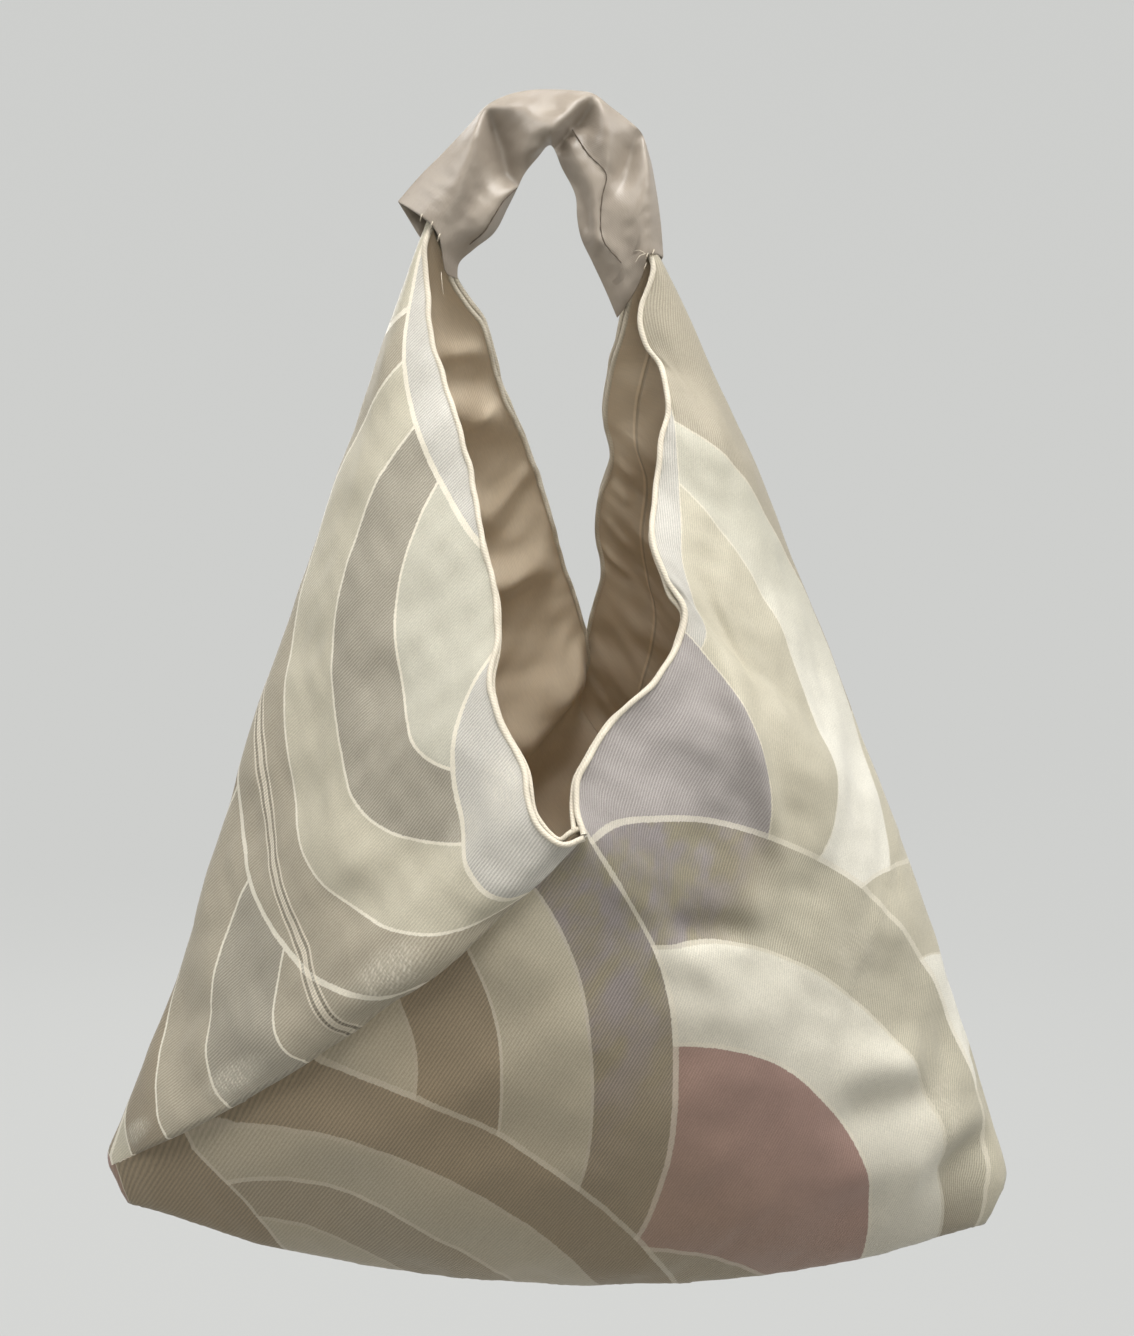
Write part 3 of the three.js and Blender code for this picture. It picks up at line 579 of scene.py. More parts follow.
@lru_cache(maxsize=None)
def soft_strip(square):
    """The folded strip with its creases rounded, as cloth hangs."""
    strip = folded_strip(square)
    edges, faces_on = edges_of(strip.quads)
    free = np.ones(len(strip.points))
    free[edges[faces_on == 1].ravel()] = 0
    soft_lines = (
        ((square, 0), (square, square), 18),
        ((2 * square, 0), (2 * square, square), 14),
        ((square, 0), (2 * square, square), 8),
        ((0, square), (square, 0), 8),
        ((3 * square, 0), (2 * square, square), 8),
    )
    weight = np.zeros(len(strip.points))
    for start, end, reach in soft_lines:
        away, _ = line_distance(strip.flat, start, end)
        weight = np.maximum(weight, np.exp(-((away / reach) ** 2)))
    weight *= smooth_step(corner_distance(strip.flat, square), *SHARP_AT_CORNER)
    for peak in ((0, square), (3 * square, 0)):
        away = np.linalg.norm(strip.flat - peak, axis=1)
        weight *= smooth_step(away, *SHARP_AT_PEAK)
    points = softened(strip.points, strip.quads, weight * free, SOFTEN_ROUNDS)
    points = blunted(points, LEFT_CORNER, LEFT_TIP_WAY, LEFT_BLUNT)
    points = blunted(points, RIGHT_CORNER, RIGHT_TIP_WAY, RIGHT_BLUNT)
    return strip._replace(points=points)


# The seam lap: its reach up the wing, its rise from the corner, and its end at the mouth point.
LAP_REACH = 40
LAP_FROM_CORNER = (4, 70)
LAP_FROM_POINT = (0, 40)
LAP_AT_POINT = 0.35


def lap_height(flat, square, left):
    """How much of the seam lap stands at a flat place of a lapping wing."""
    if left:
        away = flat[:, 1]
        from_corner = square - flat[:, 0]
        from_point = flat[:, 0]
    else:
        away = square - flat[:, 1]
        from_corner = flat[:, 0] - 2 * square
        from_point = 3 * square - flat[:, 0]
    rising = smooth_step(from_corner, *LAP_FROM_CORNER)
    ends = rising * (LAP_AT_POINT + (1 - LAP_AT_POINT) * smooth_step(from_point, *LAP_FROM_POINT))
    return ends * np.exp(-((away / LAP_REACH) ** 2))


def new_piece(name, points, quads, finish, flat=None):
    """A smooth mesh object from points in millimetres, with its flat places in a map named strip."""
    mesh = bpy.data.meshes.new(name)
    mesh.from_pydata((np.asarray(points) * MM).tolist(), [], np.asarray(quads).tolist())
    mesh.polygons.foreach_set("use_smooth", np.ones(len(mesh.polygons), bool))
    if flat is not None:
        loops = np.empty(len(mesh.loops), np.int32)
        mesh.loops.foreach_get("vertex_index", loops)
        layer = mesh.uv_layers.new(name="strip")
        layer.data.foreach_set("uv", (np.asarray(flat)[loops] * MM).astype(np.float32).ravel())
    mesh.update()
    piece = bpy.data.objects.new(name, mesh)
    bpy.context.scene.collection.objects.link(piece)
    piece.data.materials.append(finish)
    return piece


def tube(points, radius, sides=10):
    """A round cord along the points with closed ends: points, faces and flat places."""
    points = np.asarray(points, float)
    radius = np.broadcast_to(np.asarray(radius, float), (len(points),))
    ways = unit(np.gradient(points, axis=0))
    # Any direction that no cord here starts along.
    side = np.cross(ways[0], [0.31, 0.9, 0.3])
    rings = []
    for way, place, size in zip(ways, points, radius):
        side = side - way * (side @ way)
        side /= np.linalg.norm(side)
        other = np.cross(way, side)
        turn = np.arange(sides + 1) * 2 * np.pi / sides
        rings.append(place + size * (np.cos(turn)[:, None] * side + np.sin(turn)[:, None] * other))
    grid = np.array(rings)
    along = np.repeat(lengths_along(points), sides + 1)
    around = np.tile(np.arange(sides + 1) / sides, len(points)) * 2 * np.pi * radius.max()
    flat = np.stack([along, around], axis=1)
    ids = grid_ids(*grid.shape[:2])
    quads = grid_quads(ids, True)
    caps = []
    for ring, outward in ((ids[0, :-1], True), (ids[-1, :-1], False)):
        half = sides // 2
        for k in range(half - 1):
            corners = [ring[k], ring[k + 1], ring[sides - 2 - k], ring[sides - 1 - k]]
            caps.append(corners if outward else corners[::-1])
    return grid.reshape(-1, 3), np.concatenate([quads, np.array(caps)]), flat


def joined(parts):
    """Several bodies of points, faces and flat places as one."""
    points, quads, flats = [], [], []
    count = 0
    for part_points, part_quads, part_flat in parts:
        points.append(part_points)
        quads.append(part_quads + count)
        flats.append(part_flat)
        count += len(part_points)
    return np.concatenate(points), np.concatenate(quads), np.concatenate(flats)


class Yarn:
    """A node's output that takes part in arithmetic; each sign adds a Math node."""

    def __init__(self, finish, socket):
        self.finish = finish
        self.socket = socket

    def math(self, operation, *values):
        return self.finish.node("ShaderNodeMath", {"operation": operation}, dict(enumerate(values)))

    def __add__(self, other):
        return self.math("ADD", self, other)

    __radd__ = __add__

    def __sub__(self, other):
        return self.math("SUBTRACT", self, other)

    def __rsub__(self, other):
        return self.math("SUBTRACT", other, self)

    def __mul__(self, other):
        return self.math("MULTIPLY", self, other)

    __rmul__ = __mul__

    def __abs__(self):
        return self.math("ABSOLUTE", self)

    def sine(self):
        return self.math("SINE", self)

    def most(self, other):
        return self.math("MAXIMUM", self, other)


class Finish:
    """A material with its nodes."""

    def __init__(self, name):
        self.material = bpy.data.materials.new(name)
        self.material.use_nodes = True
        self.tree = self.material.node_tree
        self.shader = self.tree.nodes["Principled BSDF"]

    def node(self, kind, settings=None, inputs=None, output=0):
        """A node of that kind: its settings are set first, then its sockets are filled or linked."""
        node = self.tree.nodes.new(kind)
        for name, value in (settings or {}).items():
            setattr(node, name, value)
        for name, value in (inputs or {}).items():
            self.feed(node.inputs[name], value)
        return Yarn(self, node.outputs[output])

    def feed(self, socket, value):
        if isinstance(value, Yarn):
            self.tree.links.new(value.socket, socket)
        elif socket.type == "RGBA":
            socket.default_value = (*value[:3], 1)
        else:
            socket.default_value = value

    def surface(self, **values):
        """Fills the shader's own sockets, named with _ for a space."""
        for name, value in values.items():
            self.feed(self.shader.inputs[name.replace("_", " ")], value)

    def vector(self, operation, inputs, output=0):
        return self.node("ShaderNodeVectorMath", {"operation": operation}, inputs, output)

    def clouds(self, vector, detail, output=0):
        """Smooth noise in patches about one unit across."""
        inputs = {"Vector": vector, "Scale": 1, "Detail": detail}
        return self.node("ShaderNodeTexNoise", {"noise_dimensions": "2D"}, inputs, output)

    def strip_place(self):
        """The place on the flat cloth, in millimetres."""
        place = self.node("ShaderNodeUVMap", {"uv_map": "strip"})
        return self.vector("SCALE", {0: place, "Scale": 1 / MM})

    def split(self, vector):
        first = self.node("ShaderNodeSeparateXYZ", inputs={0: vector})
        return first, Yarn(self, first.socket.node.outputs[1])

    def shifted(self, vector, pitch, reach, seed):
        """The vector moved about irregularly, by up to about reach, in patches about pitch across."""
        offset = self.vector("MULTIPLY_ADD", {0: vector, 1: (1 / pitch,) * 3, 2: (seed, 2.3 * seed, 0)})
        noise = self.clouds(offset, 1, "Color")
        centred = self.vector("MULTIPLY_ADD", {0: noise, 1: (2 * reach,) * 3, 2: (-reach,) * 3})
        return self.vector("ADD", {0: vector, 1: centred})

    def noise(self, vector, pitch, detail=2, stretch=(1, 1)):
        """Cloudy values from 0 to 1 in patches about pitch across."""
        rates = (1 / (pitch * stretch[0]), 1 / (pitch * stretch[1]), 1)
        return self.clouds(self.vector("MULTIPLY", {0: vector, 1: rates}), detail)

    def step(self, value, low, high):
        """0 at low and 1 at high, smooth between; low may be the greater."""
        inputs = {0: value, "From Min": low, "From Max": high}
        return self.node("ShaderNodeMapRange", {"interpolation_type": "SMOOTHSTEP"}, inputs)

    def mix(self, first, second, share):
        return self.node("ShaderNodeMix", {"data_type": "RGBA"}, {0: share, 6: first, 7: second}, 2)

    def blend(self, first, second, share):
        return self.node("ShaderNodeMix", {"data_type": "FLOAT"}, {0: share, 2: first, 3: second})

    def shade(self, colour, factor):
        """The colour made lighter or darker by a factor."""
        return self.vector("SCALE", {0: colour, "Scale": factor})

    def away(self, place, centre):
        return self.vector("DISTANCE", {0: place, 1: (*centre, 0)}, "Value")

    def ribs(self, along, across, along_rate, across_rate):
        """Even ribs from 0 to 1, with that many to a millimetre each way."""
        turn = 2 * math.pi
        phase = along * (turn * along_rate) + across * (turn * across_rate)
        return phase.sine() * 0.5 + 0.5

    def glow(self, colour, share):
        """Shows camera and glossy rays that share of the surface at its own colour, unlit."""
        lit = Yarn(self, self.shader.outputs[0])
        rays = self.node("ShaderNodeLightPath", output="Is Camera Ray")
        glossy = Yarn(self, rays.socket.node.outputs["Is Glossy Ray"])
        even = self.node("ShaderNodeEmission", inputs={"Color": colour, "Strength": 1.0})
        seen = rays.most(glossy) * share
        both = self.node("ShaderNodeMixShader", inputs={0: seen, 1: lit, 2: even})
        self.tree.links.new(both.socket, self.tree.nodes["Material Output"].inputs["Surface"])

    def bump(self, height, strength, depth):
        inputs = {"Strength": strength, "Distance": depth, "Height": height}
        self.surface(Normal=self.node("ShaderNodeBump", None, inputs))


def woven(name):
    """A new cloth finish, the place on the flat cloth, and the distances along and across it."""
    cloth = Finish(name)
    flat = cloth.strip_place()
    return cloth, flat, *cloth.split(flat)


class Ring(NamedTuple):
    """A woven disc: its middle on the flat strip, radius, yarn and the width of its outline."""

    centre: tuple
    radius: float
    yarn: str
    outline: float


class Weave(NamedTuple):
    """How a yarn is woven: how strongly its ribs stand out, and its roughness."""

    ribs: float
    roughness: float


WEAVES = {
    "taupe": Weave(0.75, 0.62),
    "dark_taupe": Weave(0.75, 0.64),
    "grey_taupe": Weave(0.9, 0.62),
    "beige": Weave(0.5, 0.52),
    "grey_ivory": Weave(0.45, 0.5),
    "ivory": Weave(0.4, 0.5),
    "white": Weave(0.25, 0.48),
    "pink": Weave(0.5, 0.55),
    "mauve": Weave(0.8, 0.55),
    "silver": Weave(0.8, 0.5),
    "olive": Weave(0.9, 0.58),
}


def fan(centre, *rings):
    """Rings about one middle, from the outside in: radius, yarn and outline."""
    return tuple(Ring(centre, *ring) for ring in rings)


# The woven rings in the order they lie, lowest first. Later ones cover earlier ones.
WOVEN_RINGS = (
    *fan(
        (205, 262),
        (150, "taupe", 1.2), (114, "beige", 1.2), (78, "grey_taupe", 1.2), (40, "grey_ivory", 1.2),
    ),
    *fan(
        (345, 268),
        (158, "beige", 1.2), (120, "dark_taupe", 1.2), (82, "beige", 1.2), (42, "taupe", 1.2),
    ),
    *fan((520, 330), (150, "taupe", 1.2), (112, "beige", 1.2), (74, "mauve", 1.2)),
    *fan(
        (800, 255),
        (165, "beige", 1.2), (126, "taupe", 1.2), (88, "grey_ivory", 1.2), (46, "dark_taupe", 1.2),
    ),
    Ring((850, 90), 120, "taupe", 0.6),
    Ring((660, 20), 141, "white", 0.5),
    Ring((668, 2), 108, "beige", 0.5),
    Ring((735, -150), 166, "silver", 0.3),
    Ring((598, 0), 99, "mauve", 0.4),
    Ring((600, 212), 98, "beige", 1.4),
    Ring((628, 215), 36, "white", 0.5),
    Ring((510, 140), 156, "olive", 2.2),
    Ring((488, 152), 135, "ivory", 1.2),
    Ring((478, 150), 107, "pink", 1.2),
    Ring((400, 200), 115, "taupe", 1.8),
    *fan(
        (440, -10),
        (155, "olive", 2.0), (122, "beige", 1.0), (86, "dark_taupe", 1.0), (50, "beige", 1.2),
    ),
    Ring((365, 115), 136, "dark_taupe", 2.0),
    Ring((362, 110), 110, "beige", 1.4),
    Ring((355, 100), 85, "taupe", 1.4),
    Ring((345, 85), 58, "beige", 1.4),
    Ring((330, 30), 42, "dark_taupe", 1.4),
    *fan((118, 12), (150, "dark_taupe", 1.0), (118, "taupe", 1.0), (80.5, "grey_taupe", 1.0)),
    Ring((90, 10), 63, "taupe", 1.0),
    Ring((20, 121), 140, "taupe", 2.2),
    Ring((-2, 118), 123, "beige", 0.9),
    Ring((-9, 119), 95, "grey_taupe", 0.9),
    Ring((-29, 117), 78, "grey_ivory", 1.0),
    Ring((-150, 215), 166, "silver", 1.8),
    Ring((-60, 25), 95, "silver", 2.0),
    Ring((297, 0), 11, "pink", 0.5),
)
# Patches of long glinting floats, whose colour gets painted glints: middle, half sizes along and across
# the strip, and strength.
FLOAT_PATCHES = (
    ((90, 13), (24, 10), 1.0),
    ((185, 11), (24, 8), 1.0),
    ((258, 8), (18, 6), 0.9),
    ((35, 38), (15, 13), 0.5),
    ((10, 42), (13, 18), 0.6),
    ((604, 225), (16, 22), 0.7),
    ((640, 150), (18, 26), 0.5),
    ((700, 60), (22, 16), 0.4),
)
# Where the stitched stripe lies along the strip, how far it leans, and over which part of the width.
STRIPE_PLACE = 126
STRIPE_LEAN = 13
STRIPE_LEANS = (5, 115)
# Where the painted warm shade of the base comes in and fades again along the strip.
SHADED_START = (286, 302)
SHADED_END = (600, 500)
# Where the lining's seam lies along the strip, how far it leans, and over which part of the width.
LINING_SEAM = 873
LINING_SEAM_LEAN = 22
LINING_SEAM_LEANS = (60, 240)
# The blur at the edge of each ring, and the diagonal ribs to a millimetre along and across the strip.
EDGE_BLUR = 0.35
TWILL_ALONG = 0.17
TWILL_ACROSS = 0.81


def obi_finish(colours):
    """Brocade with large outlined rings, diagonal ribs, floats with painted glints, a stitched stripe and
    a painted warm shade on the base.
    """
    cloth, flat, along, across = woven("obi_brocade")
    place = cloth.shifted(cloth.shifted(flat, 55, 1.6, 3.1), 1.3, 0.3, 7.7)

    mottled = cloth.step(cloth.noise(flat, 15, 3, (1.3, 0.8)), 0.3, 0.7)
    two_toned = cloth.mix(colours.olive, colours.lilac, mottled)
    two_toned = cloth.mix(two_toned, colours.dark_taupe, cloth.step(across, 55, 110))
    lower_band = cloth.step(across, 70, 105)
    two_toned = cloth.mix(two_toned, colours.beige, lower_band * cloth.step(along, 560, 600))
    clear = 1.0 - cloth.step(along, 285, 330) * 0.4
    dulled = cloth.mix(colours.white, colours.grey_ivory, cloth.step(along, 715, 785))
    turning = {"olive": two_toned, "white": dulled}
    colour = colours.beige
    ribs = WEAVES["beige"].ribs
    roughness = WEAVES["beige"].roughness
    for ring in WOVEN_RINGS:
        away = cloth.away(place, ring.centre)
        yarn = turning.get(ring.yarn) or getattr(colours, ring.yarn)
        weave = WEAVES[ring.yarn]
        outer = ring.radius + ring.outline / 2
        inner = ring.radius - ring.outline / 2
        border = cloth.step(away, outer + EDGE_BLUR, outer) * clear
        inside = cloth.step(away, inner, inner - EDGE_BLUR)
        colour = cloth.mix(cloth.mix(colour, colours.outline, border), yarn, inside)
        ribs = cloth.blend(cloth.blend(ribs, 0.1, border), weave.ribs, inside)
        roughness = cloth.blend(cloth.blend(roughness, 0.5, border), weave.roughness, inside)

    colour, stripe = stitched_stripe(cloth, colours, colour, along, across)
    twill = cloth.ribs(along, across, TWILL_ALONG, TWILL_ACROSS)
    weft = cloth.ribs(along, across, 1.35, -0.25)
    cloud = cloth.noise(flat, 45, 3)
    slub = cloth.noise(flat, 0.7, 2, (3.0, 0.8))

    floats = 0.0
    for centre, half, strength in FLOAT_PATCHES:
        scaled = cloth.vector("MULTIPLY", {0: place, 1: (1 / half[0], 1 / half[1], 0)})
        reach = cloth.away(scaled, (centre[0] / half[0], centre[1] / half[1]))
        floats = cloth.step(reach, 1.1, 0.3) * strength + floats
    broken = cloth.step(cloth.noise(flat, 2.2, 2, (0.5, 3)), 0.4, 0.68)
    glints = cloth.ribs(along, across, 0.31, 0.54) * broken * floats

    # Painted shade: the base is mixed towards the darker, warmer tint, more in some patches than others.
    shaded = cloth.step(along, *SHADED_START) * cloth.step(along, *SHADED_END)
    colour = cloth.mix(colour, colours.shaded, shaded * (0.27 + cloud * 0.2))
    speckle = cloth.noise(flat, 0.55, 1)
    shade = 1.07 - twill * ribs * 0.38 + (slub - 0.5) * 0.24 + (cloud - 0.5) * 0.16 - weft * 0.04
    colour = cloth.shade(colour, shade + (speckle - 0.5) * 0.3)
    # Painted highlights: the float patches are lightened towards the outline cream, and their glinting
    # ribs more so.
    colour = cloth.mix(colour, colours.outline, glints * 0.6 + floats * 0.22)
    cloth.surface(
        Base_Color=colour,
        Roughness=roughness + (slub - 0.5) * 0.12 - glints * 0.25,
        Sheen_Weight=0.12,
        Sheen_Roughness=0.45,
        Specular_IOR_Level=0.35,
    )
    height = twill * (ribs * 0.55 + 0.15) + weft * 0.12 + slub * 0.25 + glints * 0.4 + stripe * 0.5
    cloth.bump(height, 0.35, 0.00045)
    return cloth.material


def stitched_stripe(cloth, colours, colour, along, across):
    """Ladder-stitched lines that run across the left square; gives the colour and where they lie."""
    beside = abs(along - cloth.step(across, *STRIPE_LEANS) * STRIPE_LEAN - STRIPE_PLACE)
    open_end = cloth.step(across, 24, 12)
    rungs = cloth.ribs(along, across, 0.06, 0.62)
    stitches = cloth.ribs(along, across, 0.2, 0.85)
    lines = cloth.step(beside, 1.6, 1.2).most(cloth.step(abs(beside - 3.7), 0.75, 0.4))
    gaps = cloth.step(abs(beside - 2.35), 1.0, 0.6)
    seam_in_centre = cloth.step(beside, 0.35, 0.1) * 0.35
    # Darker in the gaps beside the stripe's lines, in dots at the rung pitch and more so towards the open
    # end.
    dark_gaps = gaps * (rungs * 0.55 + 0.2) * (open_end * 0.5 + 0.75)
    colour = cloth.mix(colour, cloth.shade(colours.dark_taupe, 0.4), dark_gaps)
    cream = lines * (stitches * 0.35 + 0.65 - seam_in_centre) * (1.0 - open_end * 0.5)
    return cloth.mix(colour, colours.hem, cream), lines * stitches


def lining_finish(colours):
    """Plain tan cotton with a soft sheen, pieced by a seam near its right end, drawn with a painted shadow
    and a lighter line beside it.
    """
    cloth, flat, along, across = woven("lining_cotton")
    warp = cloth.ribs(along, across, 1.6, 0.0)
    weft = cloth.ribs(along, across, 0.0, 1.6)
    cloud = cloth.noise(flat, 38, 3)
    slub = cloth.noise(flat, 1.2, 2, (4, 0.6))
    beside = along + cloth.step(across, *LINING_SEAM_LEANS) * LINING_SEAM_LEAN - LINING_SEAM
    seam = cloth.step(abs(beside), 0.8, 0.25)
    ridge = cloth.step(abs(beside - 1.2), 0.9, 0.2)
    pucker = cloth.step(abs(beside), 5, 0.5) * cloth.ribs(along, across, 0.0, 0.16)
    shade = 1.0 + (cloud - 0.5) * 0.14 + (slub - 0.5) * 0.12 - (warp + weft) * 0.03
    # Painted shadow along the seam's groove, and beside it a lighter line for the pale thread with a
    # painted highlight on the seam's ridge.
    shade = shade - seam * 0.22 + ridge * 0.22
    cloth.surface(
        Base_Color=cloth.shade(cloth.mix(colours.lining, colours.satin, cloud * 0.25), shade),
        Roughness=0.45 + (slub - 0.5) * 0.15,
        Sheen_Weight=0.2,
        Sheen_Roughness=0.4,
        Specular_IOR_Level=0.4,
    )
    cloth.bump(warp * weft * 0.5 + slub * 0.5 + pucker * 1.5 - seam * 2.5, 0.35, 0.0004)
    return cloth.material


def hem_finish(colours):
    """Cream hem rolled tight, its yarns lying aslant."""
    cloth, flat, along, across = woven("rolled_hem")
    twist = cloth.ribs(along, across, 0.75, 0.55)
    slub = cloth.noise(flat, 1.1, 2)
    cloud = cloth.noise(flat, 26, 2)
    shade = 0.97 + (cloud - 0.5) * 0.16 + (slub - 0.5) * 0.14 - twist * 0.1
    cloth.surface(
        Base_Color=cloth.shade(cloth.mix(colours.hem, colours.beige, cloud * 0.3), shade),
        Roughness=0.6 + (slub - 0.5) * 0.2,
        Sheen_Weight=0.15,
        Specular_IOR_Level=0.3,
    )
    cloth.bump(twist * 0.7 + slub * 0.5, 0.4, 0.0003)
    return cloth.material


def satin_finish(colours):
    """Smooth champagne satin with long floats and a soft bright sheen."""
    cloth, flat, along, across = woven("champagne_satin")
    floats = cloth.noise(flat, 0.8, 3, (7, 0.5))
    cloud = cloth.noise(flat, 22, 3)
    weave = cloth.ribs(along, across, 0.5, 2.1)
    shade = 1.0 + (floats - 0.5) * 0.1 + (cloud - 0.5) * 0.12 - weave * 0.03
    cloth.surface(
        Base_Color=cloth.shade(cloth.mix(colours.satin, colours.hem, cloud * 0.15), shade),
        Roughness=0.34 + (floats - 0.5) * 0.16 + (cloud - 0.5) * 0.1,
        Sheen_Weight=0.15,
        Sheen_Roughness=0.35,
        Specular_IOR_Level=0.6,
        Anisotropic=0.35,
    )
    cloth.bump(floats * 0.6 + weave * 0.2 + cloth.noise(flat, 5, 3) * 1.2, 0.25, 0.0006)
    return cloth.material


def plain_finish(name, colour, other, pitch):
    """Twisted thread or plain woven cotton of one colour, uneven as yarn is."""
    cloth, flat, along, across = woven(name)
    weave = cloth.ribs(along, across, 1 / pitch, 0.7 / pitch)
    slub = cloth.noise(flat, pitch, 2)
    shade = 1.0 + (slub - 0.5) * 0.2 - weave * 0.12
    cloth.surface(
        Base_Color=cloth.shade(cloth.mix(colour, other, slub * 0.3), shade),
        Roughness=0.7 + (slub - 0.5) * 0.2,
        Sheen_Weight=0.1,
    )
    cloth.bump(weave, 0.4, 0.0002)
    return cloth.material


def hide_in_frame(piece, slot, *nodes):
    """Hides these nodes of the frame, which the piece stands for; the slot is not used."""
    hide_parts(*nodes)


def bend_at_necks(piece):
    """Bakes the piece's placement into its points."""
    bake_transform(piece)


# Distances over which folds and waves grow: from a peak, from a lower corner and from a folded edge.
CALM_AT_PEAK = (15, 60)
CALM_AT_CORNER = (5, 35)
CALM_AT_EDGE = (0, 25)


def below_peaks(flat, square):
    """0 at the two peaks of the strip and 1 a little way below them."""
    left = np.linalg.norm(flat - (0, square), axis=1)
    right = np.linalg.norm(flat - (3 * square, 0), axis=1)
    return smooth_step(np.minimum(left, right), *CALM_AT_PEAK)


def corner_distance(flat, square):
    """Distance over the flat strip to the nearer lower corner."""
    left = np.linalg.norm(flat - (square, 0), axis=1)
    right = np.linalg.norm(flat - (2 * square, square), axis=1)
    return np.minimum(left, right)


def lip_distance(flat, square):
    """Distance over the flat strip to the nearest lip of a wing."""
    along, across = flat.T
    left = np.minimum(along, square - across)
    right = np.minimum(3 * square - along, across)
    return np.where(along < square, left, np.where(along > 2 * square, right, square))


def hanging_waves(strip, sizes):
    """Heights of the folds and small waves that the outer cloth hangs in."""
    height = fold_heights(strip.flat, OUTER_FOLDS)
    for length, seed, share in ((60, 4, 1.6), (28, 9, 0.7), (14, 21, 0.25)):
        height += share * waves(strip.flat, length, seed) * sizes.slack / MM
    square = sizes.strip_width / MM
    left, right = (square, 0), (2 * square, square)
    for start, end in (((0, square), left), ((3 * square, 0), right), (left, right)):
        away, _ = line_distance(strip.flat, start, end)
        height *= 0.3 + 0.7 * smooth_step(away, *CALM_AT_EDGE)
    height *= below_peaks(strip.flat, square)
    return height * smooth_step(corner_distance(strip.flat, square), *CALM_AT_CORNER)


def lapped_strip(sizes):
    """The outer strip with its folds, and the wing edges that lap over the seams raised."""
    square = sizes.strip_width / MM
    strip = soft_strip(square)
    normals = normals_of(strip.points, strip.quads)
    lap = np.zeros(len(strip.points))
    front_left = strip.left[:, CELLS:].ravel()
    back_right = strip.right[:, : CELLS + 1].ravel()
    lap[front_left] = lap_height(strip.flat[front_left], square, True)
    lap[back_right] = lap_height(strip.flat[back_right], square, False)
    lap *= sizes.seam_lap / MM
    height = hanging_waves(strip, sizes) + lap * below_peaks(strip.flat, square)
    return strip, strip.points + normals * height[:, None], normals, lap


# The turned edge of a lap: its steps, how far it swells down, and the cloth that each step takes up.
ROLL_STEPS = 8
ROLL_SWELL = 1.1
ROLL_CLOTH = 0.8


def rolled_edge(points, normals, edge, before, height):
    """Rows of points that turn the lapping edge under, down to the seam."""
    down = unit(points[edge] - points[before])
    radius = height[:, None] / 2
    rows = []
    for turn in np.linspace(0, np.pi, ROLL_STEPS + 1)[1:]:
        under = normals[edge] * radius * (1 - np.cos(turn))
        rows.append(points[edge] + down * radius * np.sin(turn) * ROLL_SWELL - under)
    return rows


def with_rolled_edges(strip, points, normals, lap):
    """The outer cloth's points, faces and flat places with both lapping edges turned under."""
    quads = [strip.quads]
    flat = [strip.flat]
    all_points = [points]
    count = len(points)
    for grid, columns in (
        (strip.left, np.arange(CELLS, 2 * CELLS + 1)),
        (strip.right, np.arange(CELLS, -1, -1)),
    ):
        edge = grid[ROWS, columns]
        before = grid[ROWS - 1, columns]
        rows = rolled_edge(points, normals, edge, before, lap[edge])
        ids = np.concatenate([edge[None], count + grid_ids(len(rows), len(edge))])
        quads.append(grid_quads(ids))
        across_way = unit(strip.flat[edge] - strip.flat[before])
        for k, row in enumerate(rows):
            all_points.append(row)
            flat.append(strip.flat[edge] + across_way * (k + 1) * ROLL_CLOTH)
        count += len(rows) * len(edge)
    return np.concatenate(all_points), np.concatenate(quads), np.concatenate(flat)


class BAG_OT_outer_cloth(bpy.types.Operator):
    """Folds the strip of brocade into the outer bag, with its lapped seams"""

    bl_idname = "bag.outer_cloth"
    bl_label = "Outer cloth"

    def execute(self, context):
        sizes = context.scene.bag_sizes
        colours = context.scene.bag_colours
        strip, points, normals, lap = lapped_strip(sizes)
        points, quads, flat = with_rolled_edges(strip, points, normals, lap)
        piece = new_piece("outer_cloth", points, quads, obi_finish(colours), flat)
        bend_at_necks(piece)
        hide_in_frame(piece, "obi", "outer_left_wing", "outer_base", "outer_right_wing")
        return {"FINISHED"}


# Distances from a lower corner over which the lining's slack, gap and tuck change, and the tuck's shares.
SLACK_AT_CORNER = (15, 60)
GAP_AT_CORNER = (2, 14)
TUCK_AT_CORNER = (0, 45)
TUCK_IN = 0.85
TUCK_UP = 0.5
# How near a lip the lining keeps to its edge.
LIP_NEAR = 5


def lining_points(sizes):
    """The lining strip, inside the outer one, with its own slack folds."""
    square = sizes.strip_width / MM
    strip = soft_strip(square)
    normals = normals_of(strip.points, strip.quads)
    slack = fold_heights(strip.flat, LINING_FOLDS)
    for length, seed, share in ((45, 14, 1.2), (18, 15, 0.6)):
        slack -= share * (1 + waves(strip.flat, length, seed)) * sizes.slack / MM
    near_lip = np.exp(-((lip_distance(strip.flat, square) / LIP_NEAR) ** 2))
    from_corner = corner_distance(strip.flat, square)
    slack = np.minimum(slack, 0.3) * below_peaks(strip.flat, square)
    slack *= smooth_step(from_corner, *SLACK_AT_CORNER)
    gap = sizes.lining_gap / MM * (1 + 0.5 * near_lip) * smooth_step(from_corner, *GAP_AT_CORNER)
    height = slack * (1 - 0.85 * near_lip) - gap + hanging_waves(strip, sizes)
    tuck = CORNER_TUCK * (1 - smooth_step(from_corner, *TUCK_AT_CORNER))
    sideways = np.where(strip.points[:, 0] < 0, TUCK_IN, -TUCK_IN)
    inward = np.stack([sideways, 0 * tuck, TUCK_UP + 0 * tuck], axis=1)
    return strip, strip.points + normals * height[:, None] + inward * tuck[:, None]


